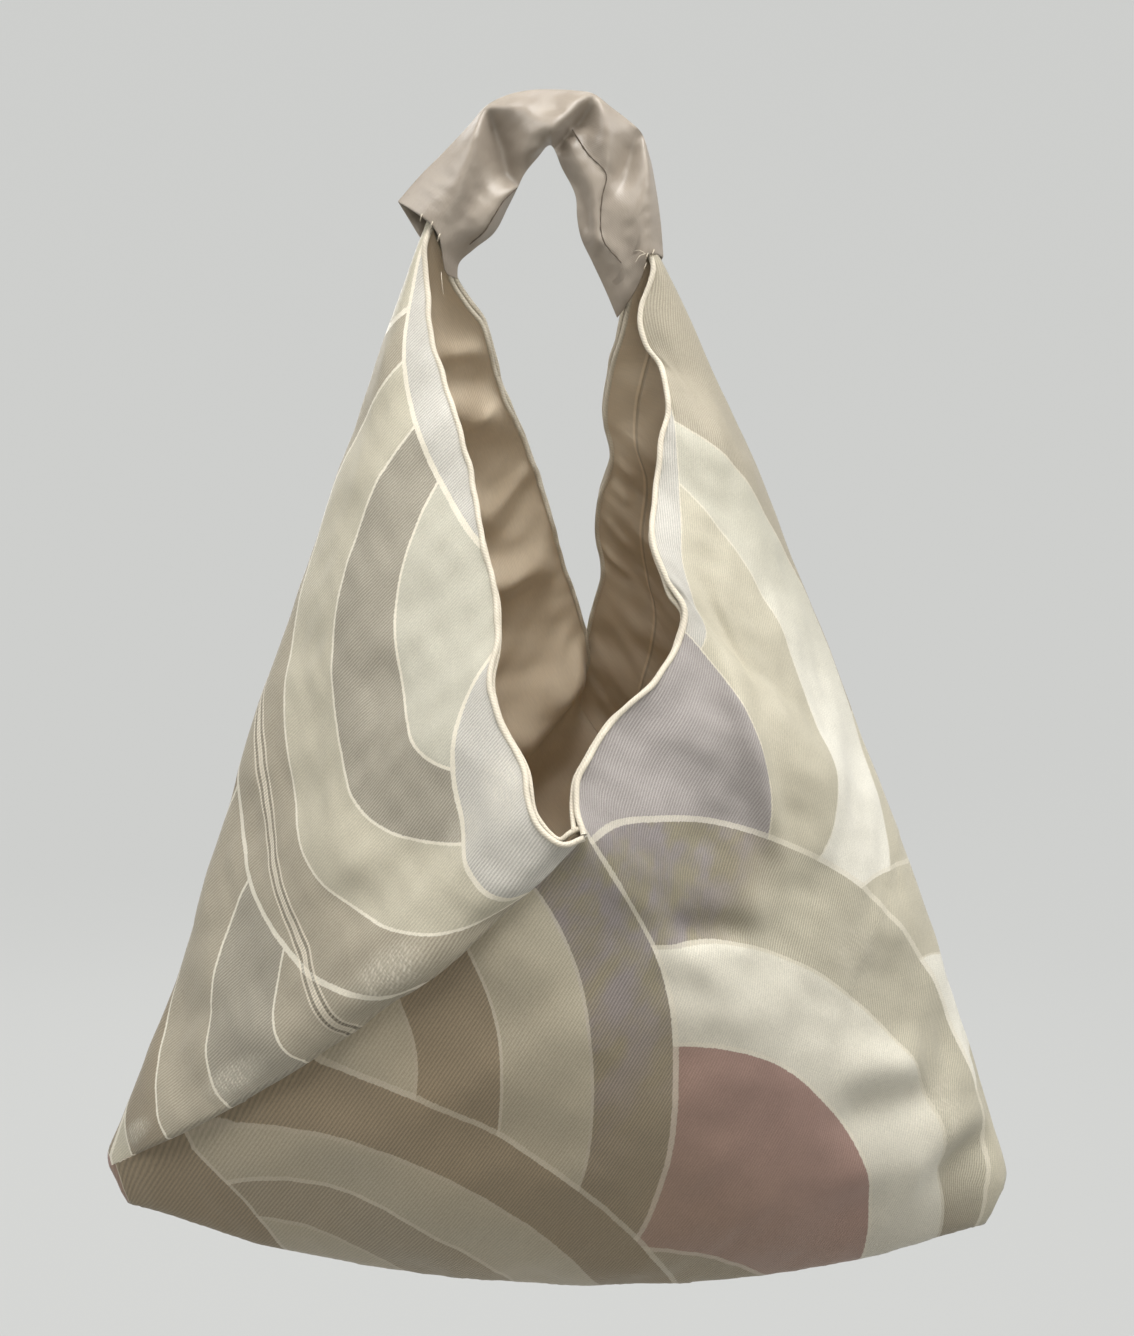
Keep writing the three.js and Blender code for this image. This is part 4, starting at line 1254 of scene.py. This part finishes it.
class BAG_OT_lining(bpy.types.Operator):
    """Lays the tan lining inside the outer cloth"""

    bl_idname = "bag.lining"
    bl_label = "Lining"

    def execute(self, context):
        sizes = context.scene.bag_sizes
        strip, points = lining_points(sizes)
        finish = lining_finish(context.scene.bag_colours)
        piece = new_piece("lining_cloth", points, strip.quads[:, ::-1], finish, strip.flat)
        bend_at_necks(piece)
        hide_in_frame(piece, "lining", "lining_left_wing", "lining_base", "lining_right_wing")
        return {"FINISHED"}


LIP_COLUMNS = {
    "rim_front_left": ("left", -1),
    "rim_front_right": ("right", -1),
    "rim_back_left": ("left", 0),
    "rim_back_right": ("right", 0),
}


# Waves of a hand-sewn hem: their height, their pitch, and the lining hem's share of the thickness.
HEM_WAVE = 0.22
HEM_PITCH = 16
LINING_HEM = 0.9


def wavy(points, height, pitch, seed):
    """The line with small hand-sewn waves, at three times as many points."""
    fine = path(points, np.linspace(0, 1, 3 * len(points)))
    lengths = lengths_along(fine)
    places = np.stack([lengths, 0 * lengths], axis=1)
    offsets = [height * waves(places, pitch, seed + k) for k in range(3)]
    return fine + np.stack(offsets, axis=1)


class BAG_OT_rolled_edges(bpy.types.Operator):
    """Sews a pair of rolled hems, outer cloth and lining, along each lip of the mouth"""

    bl_idname = "bag.rolled_edges"
    bl_label = "Rolled edges"

    def execute(self, context):
        sizes = context.scene.bag_sizes
        finish = hem_finish(context.scene.bag_colours)
        strip, outer, _, _ = lapped_strip(sizes)
        _, inner = lining_points(sizes)
        radius = sizes.hem_diameter / MM / 2
        for seed, (node, (wing, column)) in enumerate(LIP_COLUMNS.items()):
            ids = getattr(strip, wing)[:, column]
            parts = []
            for line, share in ((outer[ids], 1.0), (inner[ids], LINING_HEM)):
                cord = wavy(line, HEM_WAVE, HEM_PITCH, 31 * seed + int(10 * share))
                parts.append(tube(cord, radius * share))
            points, quads, flat = joined(parts)
            piece = new_piece(node.replace("rim", "rolled_hem"), points, quads, finish, flat)
            bend_at_necks(piece)
            hide_in_frame(piece, "rolled_edge", node)
        return {"FINISHED"}


# Sewing threads: the sides of a thread, and for each seam its points, stitch length and dip.
THREAD_SIDES = 6
BAG_SEAM_POINTS = 400
BAG_SEAM_STITCH = 3.2
BAG_SEAM_DIP = 0.25
SLEEVE_SEAM_POINTS = 90
SLEEVE_SEAM_STITCH = 4.0
SLEEVE_SEAM_DIP = 0.2
# The shares of a bag seam between which its thread shows, and how far each thread lies off its cloth.
BAG_SEAM_ENDS = (0.07, 0.965)
BAG_SEAM_LIFT = 0.5
SLEEVE_SEAM_LIFT = 0.25


def running_thread(line, out, pitch, height):
    """A thread that dips in and out along a line, out being the outward way."""
    dips = height * np.sin(lengths_along(line) * 2 * np.pi / pitch)
    return line + np.asarray(out) * dips[:, None]


class BAG_OT_seam_threads(bpy.types.Operator):
    """Runs the sewing thread along the front and back seams"""

    bl_idname = "bag.seam_threads"
    bl_label = "Seam threads"

    def execute(self, context):
        radius = context.scene.handle_sizes.thread_diameter / MM / 2
        colours = context.scene.bag_colours
        finish = plain_finish("seam_thread", colours.thread, colours.taupe, 0.8)
        shares = np.linspace(*BAG_SEAM_ENDS, BAG_SEAM_POINTS)
        for node, corner, point in (
            ("front_seam_thread", LEFT_CORNER, MOUTH_POINT_FRONT),
            ("back_seam_thread", RIGHT_CORNER, MOUTH_POINT_BACK),
        ):
            line = seam_line(corner, point, shares)
            out = np.array([0, np.sign(point[1]) * 0.8, -0.6])
            stitches = running_thread(line + out * BAG_SEAM_LIFT, out, BAG_SEAM_STITCH, BAG_SEAM_DIP)
            points, quads, flat = tube(stitches, radius, THREAD_SIDES)
            piece = new_piece(node.replace("thread", "stitches"), points, quads, finish, flat)
            hide_in_frame(piece, "thread", node)
            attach(piece, "bag")
        return {"FINISHED"}


# The distance between the places taken along a crease, and how softly the cloth keeps to them.
CREASE_SPACING = 1.2
CREASE_SOFTNESS = 0.3


def crumpled(lines, places):
    """How far cloth held by those ridges, valleys and edges stands out at places across and up."""
    samples = []
    for line in lines:
        length = np.linalg.norm(np.diff(np.array(line)[:, :2], axis=0), axis=1).sum()
        count = max(6, int(length / CREASE_SPACING))
        samples.append(path(line, np.linspace(0, 1, count)))
    samples = np.concatenate(samples)
    spots = samples[:, :2]
    between = np.linalg.norm(spots[:, None] - spots[None], axis=2)
    system = between - CREASE_SOFTNESS * np.eye(len(spots))
    middle = samples[:, 2].mean()
    strengths = np.linalg.solve(system, samples[:, 2] - middle)
    reach = np.linalg.norm(places[:, None] - spots[None], axis=2)
    return reach @ strengths + middle


def sleeve_front(places):
    """How far the crumpled front of the sleeve stands forward at places across and up."""
    edges = (SLEEVE_OUTER_EDGE, SLEEVE_INNER_EDGE, LEFT_MOUTH_EDGE, RIGHT_MOUTH_EDGE)
    return crumpled([*SLEEVE_CREASES.values(), *edges, RIGHT_SLEEVE_SEAM, LEFT_SLEEVE_SEAM], places)


def sleeve_back(places):
    """How far the crumpled back of the sleeve stands back at places across and up."""
    edges = []
    for edge in (SLEEVE_OUTER_EDGE, SLEEVE_INNER_EDGE):
        edges.append([(x, z, -forward) for x, z, forward in edge])
    return crumpled([*SLEEVE_BACK_CREASES.values(), *edges], places)


def sleeve_lines(shares):
    """Outer and inner edge of the sleeve at shares of its length."""
    return path(SLEEVE_OUTER_EDGE, shares), path(SLEEVE_INNER_EDGE, shares)


# The share of the sleeve that each mouth's edge shapes, and how far its back follows the other way.
MOUTH_SHARE = 0.2
MOUTH_BACK = 0.35


def sleeve_plan(shares, widths, front):
    """Places across and up on the flattened sleeve; widths run from its outer edge to its inner one."""
    outer, inner = sleeve_lines(shares)
    share = ((1 - widths) / 2)[None, :, None]
    plan = outer[:, None, :2] * (1 - share) + inner[:, None, :2] * share
    for mouth, row, near in ((LEFT_MOUTH_EDGE, 0, shares), (RIGHT_MOUTH_EDGE, -1, 1 - shares)):
        edge = path(mouth, (1 - widths) / 2)[:, :2]
        pull = (1 - smooth_step(near, 0, MOUTH_SHARE))[:, None, None]
        straight = plan[row].copy()
        back_edge = straight + MOUTH_BACK * (straight - edge)
        plan = plan + pull * ((edge if front else back_edge) - straight)[None]
    return plan


# The sleeve's small rumples: their height, their length and their seed, and how they fade to its edges.
RUMPLE = 0.18
RUMPLE_LENGTH = 7
RUMPLE_SEED = 12
RUMPLE_FADE = 0.6


def sleeve_grid():
    """The sleeve's points round and along it, from its left mouth to its right one."""
    shares = np.linspace(0, 1, SLEEVE_STEPS + 1)
    turn = np.pi * np.arange(SLEEVE_ROUND + 1) / SLEEVE_ROUND
    widths = np.cos(turn)
    halves = []
    for front in (True, False):
        plan = sleeve_plan(shares, widths, front)
        round_off = np.sin(turn)[None, :] ** RUMPLE_FADE
        places = plan.reshape(-1, 2)
        depth = -sleeve_front(places) if front else sleeve_back(places)
        rumple = waves(places, RUMPLE_LENGTH, RUMPLE_SEED).reshape(plan.shape[:2]) * RUMPLE * round_off
        depth = depth.reshape(plan.shape[:2]) + rumple
        halves.append(np.stack([plan[..., 0], depth, plan[..., 1]], axis=-1))
    front, back = halves
    edge = (front[:, [0, -1]] + back[:, [0, -1]]) / 2
    front[:, [0, -1]] = edge
    return np.concatenate([front, back[:, -2:0:-1]], axis=1)


# How the sleeve is smoothed, and how many rows in from a mouth show which way its cloth runs there.
SLEEVE_SOFTNESS = 0.8
SLEEVE_ROUNDS = 4
HEM_LOOK = 8


class BAG_OT_handle_sleeve(bpy.types.Operator):
    """Makes the crumpled satin sleeve with its turned-in mouths"""

    bl_idname = "bag.handle_sleeve"
    bl_label = "Handle sleeve"

    def execute(self, context):
        sizes = context.scene.handle_sizes
        grid = sleeve_grid()
        rows, columns = grid.shape[:2]
        quads = grid_quads(closed_ids(rows, columns), True)
        weight = np.full(rows * columns, SLEEVE_SOFTNESS)
        grid = softened(grid.reshape(-1, 3), quads, weight, SLEEVE_ROUNDS).reshape(rows, columns, 3)
        left_hem, right_hem = self.hem_rows(grid, sizes.hem_depth / MM)
        grid = np.concatenate([left_hem[::-1], grid, right_hem])
        rows = len(grid)
        quads = grid_quads(closed_ids(rows, columns), True)
        lengths = np.linspace(0, SLEEVE_LENGTH, rows)
        around = np.arange(columns) / columns * SLEEVE_GIRTH
        flat = np.stack([np.repeat(lengths, columns), np.tile(around, rows)], axis=1)
        finish = satin_finish(context.scene.bag_colours)
        piece = new_piece("handle_sleeve_satin", grid.reshape(-1, 3), quads, finish, flat)
        hide_in_frame(piece, "satin", "handle_sleeve")
        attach(piece, "handle")
        return {"FINISHED"}

    @staticmethod
    def hem_rows(grid, depth):
        """Rows that turn each mouth in, the left mouth's and then the right one's."""
        hems = []
        for row, inside in ((grid[0], grid[HEM_LOOK]), (grid[-1], grid[-1 - HEM_LOOK])):
            inward = unit(row.mean(axis=0) - row)
            way = unit(inside - row)
            steps = []
            turned_in = ((-0.25, 0.2), (-0.2, 0.55), (0.3, 0.8), (depth * 0.3, 1.0), (depth, 1.2))
            for back, sink in turned_in:
                steps.append(row + way * back + inward * sink)
            hems.append(np.array(steps))
        return hems


def on_sleeve(line, lift):
    """A line drawn on the front of the sleeve, lifted a little off it."""
    fine = path(line, np.linspace(0, 1, SLEEVE_SEAM_POINTS))
    depth = sleeve_front(fine[:, :2])
    return np.stack([fine[:, 0], -depth - lift, fine[:, 1]], axis=1)


class BAG_OT_sleeve_seam(bpy.types.Operator):
    """Closes the sleeve with its line of slip stitches"""

    bl_idname = "bag.sleeve_seam"
    bl_label = "Sleeve seam"

    def execute(self, context):
        colours = context.scene.bag_colours
        radius = context.scene.handle_sizes.thread_diameter / MM / 2
        out = (0.0, -1.0, 0.0)
        parts = []
        for line in (RIGHT_SLEEVE_SEAM, LEFT_SLEEVE_SEAM):
            drawn = on_sleeve(line, SLEEVE_SEAM_LIFT)
            thread = running_thread(drawn, out, SLEEVE_SEAM_STITCH, SLEEVE_SEAM_DIP)
            parts.append(tube(thread, radius, THREAD_SIDES))
        points, quads, flat = joined(parts)
        # The thread takes the dark seam colour, a painted shadow of the gap along the sleeve's seam.
        finish = plain_finish("sleeve_shadow_thread", colours.seam, colours.dark_taupe, 0.8)
        piece = new_piece("sleeve_shadow_stitches", points, quads, finish, flat)
        hide_in_frame(piece, "thread", "sleeve_seam")
        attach(piece, "handle")
        return {"FINISHED"}


# The peaks inside the sleeve: their middle lines from the necks up, and their place in from the corners.
LEFT_PEAK = ((-47.5, 0, -29), (-44, 0, -22), (-38, 0, -13), (-32, 0, -5))
RIGHT_PEAK = ((38, 0, -40), (36.5, 0, -33), (34.5, 0, -24), (32, 0, -14))
PEAK_PLACE = 20
# A pleated peak: divisions along and round it, both end radii, pleats and their height, and flatness.
PEAK_STEPS = 20
PEAK_SIDES = 56
PEAK_RADII = (4.6, 2.4)
PLEATS = 7
PLEAT_HEIGHT = 0.16
PEAK_FLATNESS = 0.62


class BAG_OT_peak_gathers(bpy.types.Operator):
    """Pleats the two peaks of the strip where they run up inside the sleeve"""

    bl_idname = "bag.peak_gathers"
    bl_label = "Peak gathers"

    def execute(self, context):
        finish = bpy.data.materials["obi_brocade"]
        square = context.scene.bag_sizes.strip_width / MM
        for node, line, place in (
            ("left_peak_tip", LEFT_PEAK, (PEAK_PLACE, square - PEAK_PLACE)),
            ("right_peak_tip", RIGHT_PEAK, (3 * square - PEAK_PLACE, PEAK_PLACE)),
        ):
            points, quads, flat = self.pleated(path(line, np.linspace(0, 1, PEAK_STEPS)))
            piece = new_piece(node.replace("tip", "gather"), points, quads, finish, flat + place)
            bend_at_necks(piece)
            hide_in_frame(piece, "obi", node)
        return {"FINISHED"}

    @staticmethod
    def pleated(line):
        """A pleated taper along the line."""
        points, quads, flat = tube(line, np.linspace(*PEAK_RADII, len(line)), PEAK_SIDES)
        ring = np.repeat(line, PEAK_SIDES + 1, axis=0)
        turn = np.tile(np.arange(PEAK_SIDES + 1) * 2 * np.pi / PEAK_SIDES, len(line))
        pleats = 1 + PLEAT_HEIGHT * np.cos(PLEATS * turn)
        spread = (points - ring) * pleats[:, None]
        spread[:, 1] *= PEAK_FLATNESS
        return ring + spread, quads, flat


class BAG_OT_handle_strap(bpy.types.Operator):
    """Lays the cotton strap that joins the peaks inside the sleeve"""

    bl_idname = "bag.handle_strap"
    bl_label = "Handle strap"

    def execute(self, context):
        colours = context.scene.bag_colours
        outer, inner = sleeve_lines(np.linspace(*STRAP_ENDS, STRAP_STEPS))
        middle = (outer + inner) / 2
        line = np.stack([middle[:, 0], 0 * middle[:, 0] + STRAP_BACK, middle[:, 1]], axis=1)
        side = unit(outer[:, :2] - inner[:, :2])
        half = context.scene.handle_sizes.strap_width / MM / 2
        columns = np.arange(STRAP_ROUND + 1)
        turn = columns * 2 * np.pi / STRAP_ROUND
        across = np.sign(np.cos(turn)) * np.abs(np.cos(turn)) ** 0.5 * half
        deep = np.sign(np.sin(turn)) * np.abs(np.sin(turn)) ** 0.5 * STRAP_HALF_DEPTH
        grid = []
        for place, way in zip(line, side):
            grid.append(place + np.stack([across * way[0], deep, across * way[1]], axis=1))
        along_cloth = np.repeat(np.arange(STRAP_STEPS) * STRAP_CLOTH[0], len(columns))
        round_cloth = np.tile(columns * STRAP_CLOTH[1], STRAP_STEPS)
        flat = np.stack([along_cloth, round_cloth], axis=1)
        quads = grid_quads(grid_ids(STRAP_STEPS, len(columns)), True)
        finish = plain_finish("strap_cotton", colours.cotton, colours.hem, 1.1)
        piece = new_piece("handle_strap", np.concatenate(grid), quads, finish, flat)
        hide_in_frame(piece, "cotton", "handle_core")
        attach(piece, "handle")
        return {"FINISHED"}


# The tack stitches' places along each mouth, and the loose thread ends that were left on.
LEFT_TACKS = (0.3, 0.42, 0.54)
RIGHT_TACKS = (0.2, 0.3, 0.4)
LEFT_ENDS = (((-45, -7.5, -48), (-44.6, -9, -52), (-44, -9.4, -57)),)
RIGHT_ENDS = (
    ((37, -8.8, -41), (34.5, -10.4, -42.2), (33, -10.8, -44.5)),
    ((36.5, -8.8, -40.6), (34, -10, -39.8), (32.6, -10.3, -40.2)),
)
TACK_STEPS = 12
END_STEPS = 14


class BAG_OT_tack_stitches(bpy.types.Operator):
    """Tacks each mouth of the sleeve to its peak, with the thread's loose ends left on"""

    bl_idname = "bag.tack_stitches"
    bl_label = "Tack stitches"

    def execute(self, context):
        colours = context.scene.bag_colours
        radius = context.scene.handle_sizes.thread_diameter / MM / 2
        finish = plain_finish("tack_thread", colours.thread, colours.hem, 0.7)
        for node, mouth, tacks, ends in (
            ("left_tack_stitch", LEFT_MOUTH_EDGE, LEFT_TACKS, LEFT_ENDS),
            ("right_tack_stitch", RIGHT_MOUTH_EDGE, RIGHT_TACKS, RIGHT_ENDS),
        ):
            parts = []
            for share in tacks:
                x, z, forward = path(mouth, np.array([share]))[0]
                loop = (
                    (x - 0.6, -forward + 1.6, z - 1.6),
                    (x, -forward - 0.5, z),
                    (x + 0.6, -forward + 0.6, z + 1.6),
                )
                stitch = path(loop, np.linspace(0, 1, TACK_STEPS))
                parts.append(tube(stitch, radius, THREAD_SIDES))
            for end in ends:
                thread = path(end, np.linspace(0, 1, END_STEPS))
                taper = np.linspace(radius * 0.7, radius * 0.3, END_STEPS)
                parts.append(tube(thread, taper, THREAD_SIDES))
            points, quads, flat = joined(parts)
            piece = new_piece(node.replace("stitch", "stitches"), points, quads, finish, flat)
            hide_in_frame(piece, "thread", node)
            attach(piece, "handle")
        return {"FINISHED"}


# The camera, the lights and the round sweep, with lengths in metres.
CAMERA_PLACE = (0.0056, -0.794, -0.1119)
CAMERA_TARGET = (0.0056, 0.0, -0.2094)
CAMERA_ANGLE = math.radians(38.3)
LIGHT_COLOUR = (1.0, 0.99, 0.972)
FRONT_COLOUR = (1.0, 0.94, 0.84)
FLOOR_HEIGHT = -0.85
WALL_RADIUS = 3.2
WALL_TOP = 3.6
SWEEP_RADIUS = 1.2
SWEEP_STEPS = 16
SWEEP_ROUND = 96
LIT_PLACE = (0, 0, -0.25)
# The share of the paper's colour that takes the light, and the share that shows as it is.
PAPER_LIT = 0.4
PAPER_EVEN = 0.8


def look_at(thing, target):
    """Turns a light or the camera towards a point."""
    way = np.array(target) - np.array(thing.location)
    flat_length = math.hypot(way[0], way[1])
    thing.rotation_euler = (math.atan2(flat_length, -way[2]), 0, math.atan2(-way[0], way[1]))


class BAG_OT_stage(bpy.types.Operator):
    """Sets up the pale sweep, the soft lights and the camera"""

    bl_idname = "bag.stage"
    bl_label = "Stage"

    def execute(self, context):
        scene = context.scene
        stage = scene.bag_stage
        scene.view_settings.view_transform = "Standard"
        self.sweep(stage)
        for name, place, size, power, colour in (
            ("key_light", (0.2, -0.68, 1.65), 1.2, stage.key_power, LIGHT_COLOUR),
            ("left_light", (-1.8, -0.7, 1.3), 1.4, stage.side_power, LIGHT_COLOUR),
            ("right_light", (1.8, -0.7, 1.3), 1.4, stage.side_power, LIGHT_COLOUR),
            ("front_light", (0.25, -1.6, -0.05), 0.8, stage.front_power, FRONT_COLOUR),
            ("back_light", (-0.4, 1.7, 0.5), 1.4, stage.back_power, LIGHT_COLOUR),
        ):
            self.light(name, place, size, power, colour)
        world = bpy.data.worlds.new("studio")
        world.use_nodes = True
        sky = world.node_tree.nodes["Background"]
        sky.inputs["Color"].default_value = (1, 1, 1, 1)
        sky.inputs["Strength"].default_value = stage.sky
        scene.world = world
        camera = bpy.data.objects.new("camera", bpy.data.cameras.new("camera"))
        scene.collection.objects.link(camera)
        camera.location = CAMERA_PLACE
        look_at(camera, CAMERA_TARGET)
        camera.data.sensor_fit = "VERTICAL"
        camera.data.angle = CAMERA_ANGLE
        camera.data.clip_start = 0.01
        scene.camera = camera
        return {"FINISHED"}

    @staticmethod
    def light(name, place, size, power, colour):
        """A soft square lamp turned towards the bag."""
        data = bpy.data.lights.new(name, "AREA")
        data.size = size
        data.energy = power
        data.color = colour
        lamp = bpy.data.objects.new(name, data)
        lamp.location = place
        bpy.context.scene.collection.objects.link(lamp)
        look_at(lamp, LIT_PLACE)

    @staticmethod
    def sweep(stage):
        """A round floor that curves up into a wall on all sides."""
        floor_radius = WALL_RADIUS - SWEEP_RADIUS
        profile = [(0.0, FLOOR_HEIGHT), (floor_radius, FLOOR_HEIGHT)]
        for turn in np.linspace(0, np.pi / 2, SWEEP_STEPS + 1)[1:]:
            reach = floor_radius + SWEEP_RADIUS * math.sin(turn)
            profile.append((reach, FLOOR_HEIGHT + SWEEP_RADIUS * (1 - math.cos(turn))))
        profile.append((WALL_RADIUS, WALL_TOP))
        turns = np.linspace(0, 2 * np.pi, SWEEP_ROUND + 1)
        rings = []
        for reach, height in profile:
            ring = [reach * np.cos(turns), reach * np.sin(turns), 0 * turns + height]
            rings.append(np.stack(ring, axis=1))
        quads = grid_quads(grid_ids(len(rings), len(turns)))
        paper = Finish("backdrop_paper")
        coordinates = paper.node("ShaderNodeTexCoord", output="Object")
        grain = paper.noise(coordinates, 0.004, 3)
        paper.surface(
            Base_Color=paper.shade(stage.backdrop, PAPER_LIT + (grain - 0.5) * 0.012),
            Roughness=0.9,
            Specular_IOR_Level=0.1,
        )
        paper.glow(stage.backdrop, PAPER_EVEN)
        floor = new_piece("studio_sweep", np.concatenate(rings) / MM, quads, paper.material)


class BAG_PT_parts(bpy.types.Panel):
    """Lists the pieces of the bag and their sizes and colours"""

    bl_idname = "BAG_PT_parts"
    bl_label = "Azuma bukuro"
    bl_space_type = "VIEW_3D"
    bl_region_type = "UI"
    bl_category = "Bag"

    def draw(self, context):
        for piece in PIECES:
            self.layout.operator(piece.bl_idname)
        for name, kind in GROUPS.items():
            group = getattr(context.scene, name)
            for value in kind.__annotations__:
                self.layout.prop(group, value)


PIECES = (
    BAG_OT_outer_cloth,
    BAG_OT_lining,
    BAG_OT_rolled_edges,
    BAG_OT_seam_threads,
    BAG_OT_handle_strap,
    BAG_OT_handle_sleeve,
    BAG_OT_sleeve_seam,
    BAG_OT_peak_gathers,
    BAG_OT_tack_stitches,
    BAG_OT_stage,
)
GROUPS = {
    "bag_sizes": BagSizes,
    "handle_sizes": HandleSizes,
    "bag_colours": ClothColours,
    "bag_stage": StageSizes,
}


def register():
    for group in GROUPS.values():
        bpy.utils.register_class(group)
    for name, group in GROUPS.items():
        setattr(bpy.types.Scene, name, bpy.props.PointerProperty(type=group))
    for piece in (*PIECES, BAG_PT_parts):
        bpy.utils.register_class(piece)


def unregister():
    for piece in (BAG_PT_parts, *reversed(PIECES)):
        bpy.utils.unregister_class(piece)
    for name, group in GROUPS.items():
        delattr(bpy.types.Scene, name)
        bpy.utils.unregister_class(group)


def main():
    register()
    for piece in PIECES:
        family, name = piece.bl_idname.split(".")
        getattr(getattr(bpy.ops, family), name)()


if __name__ == "__main__":
    main()
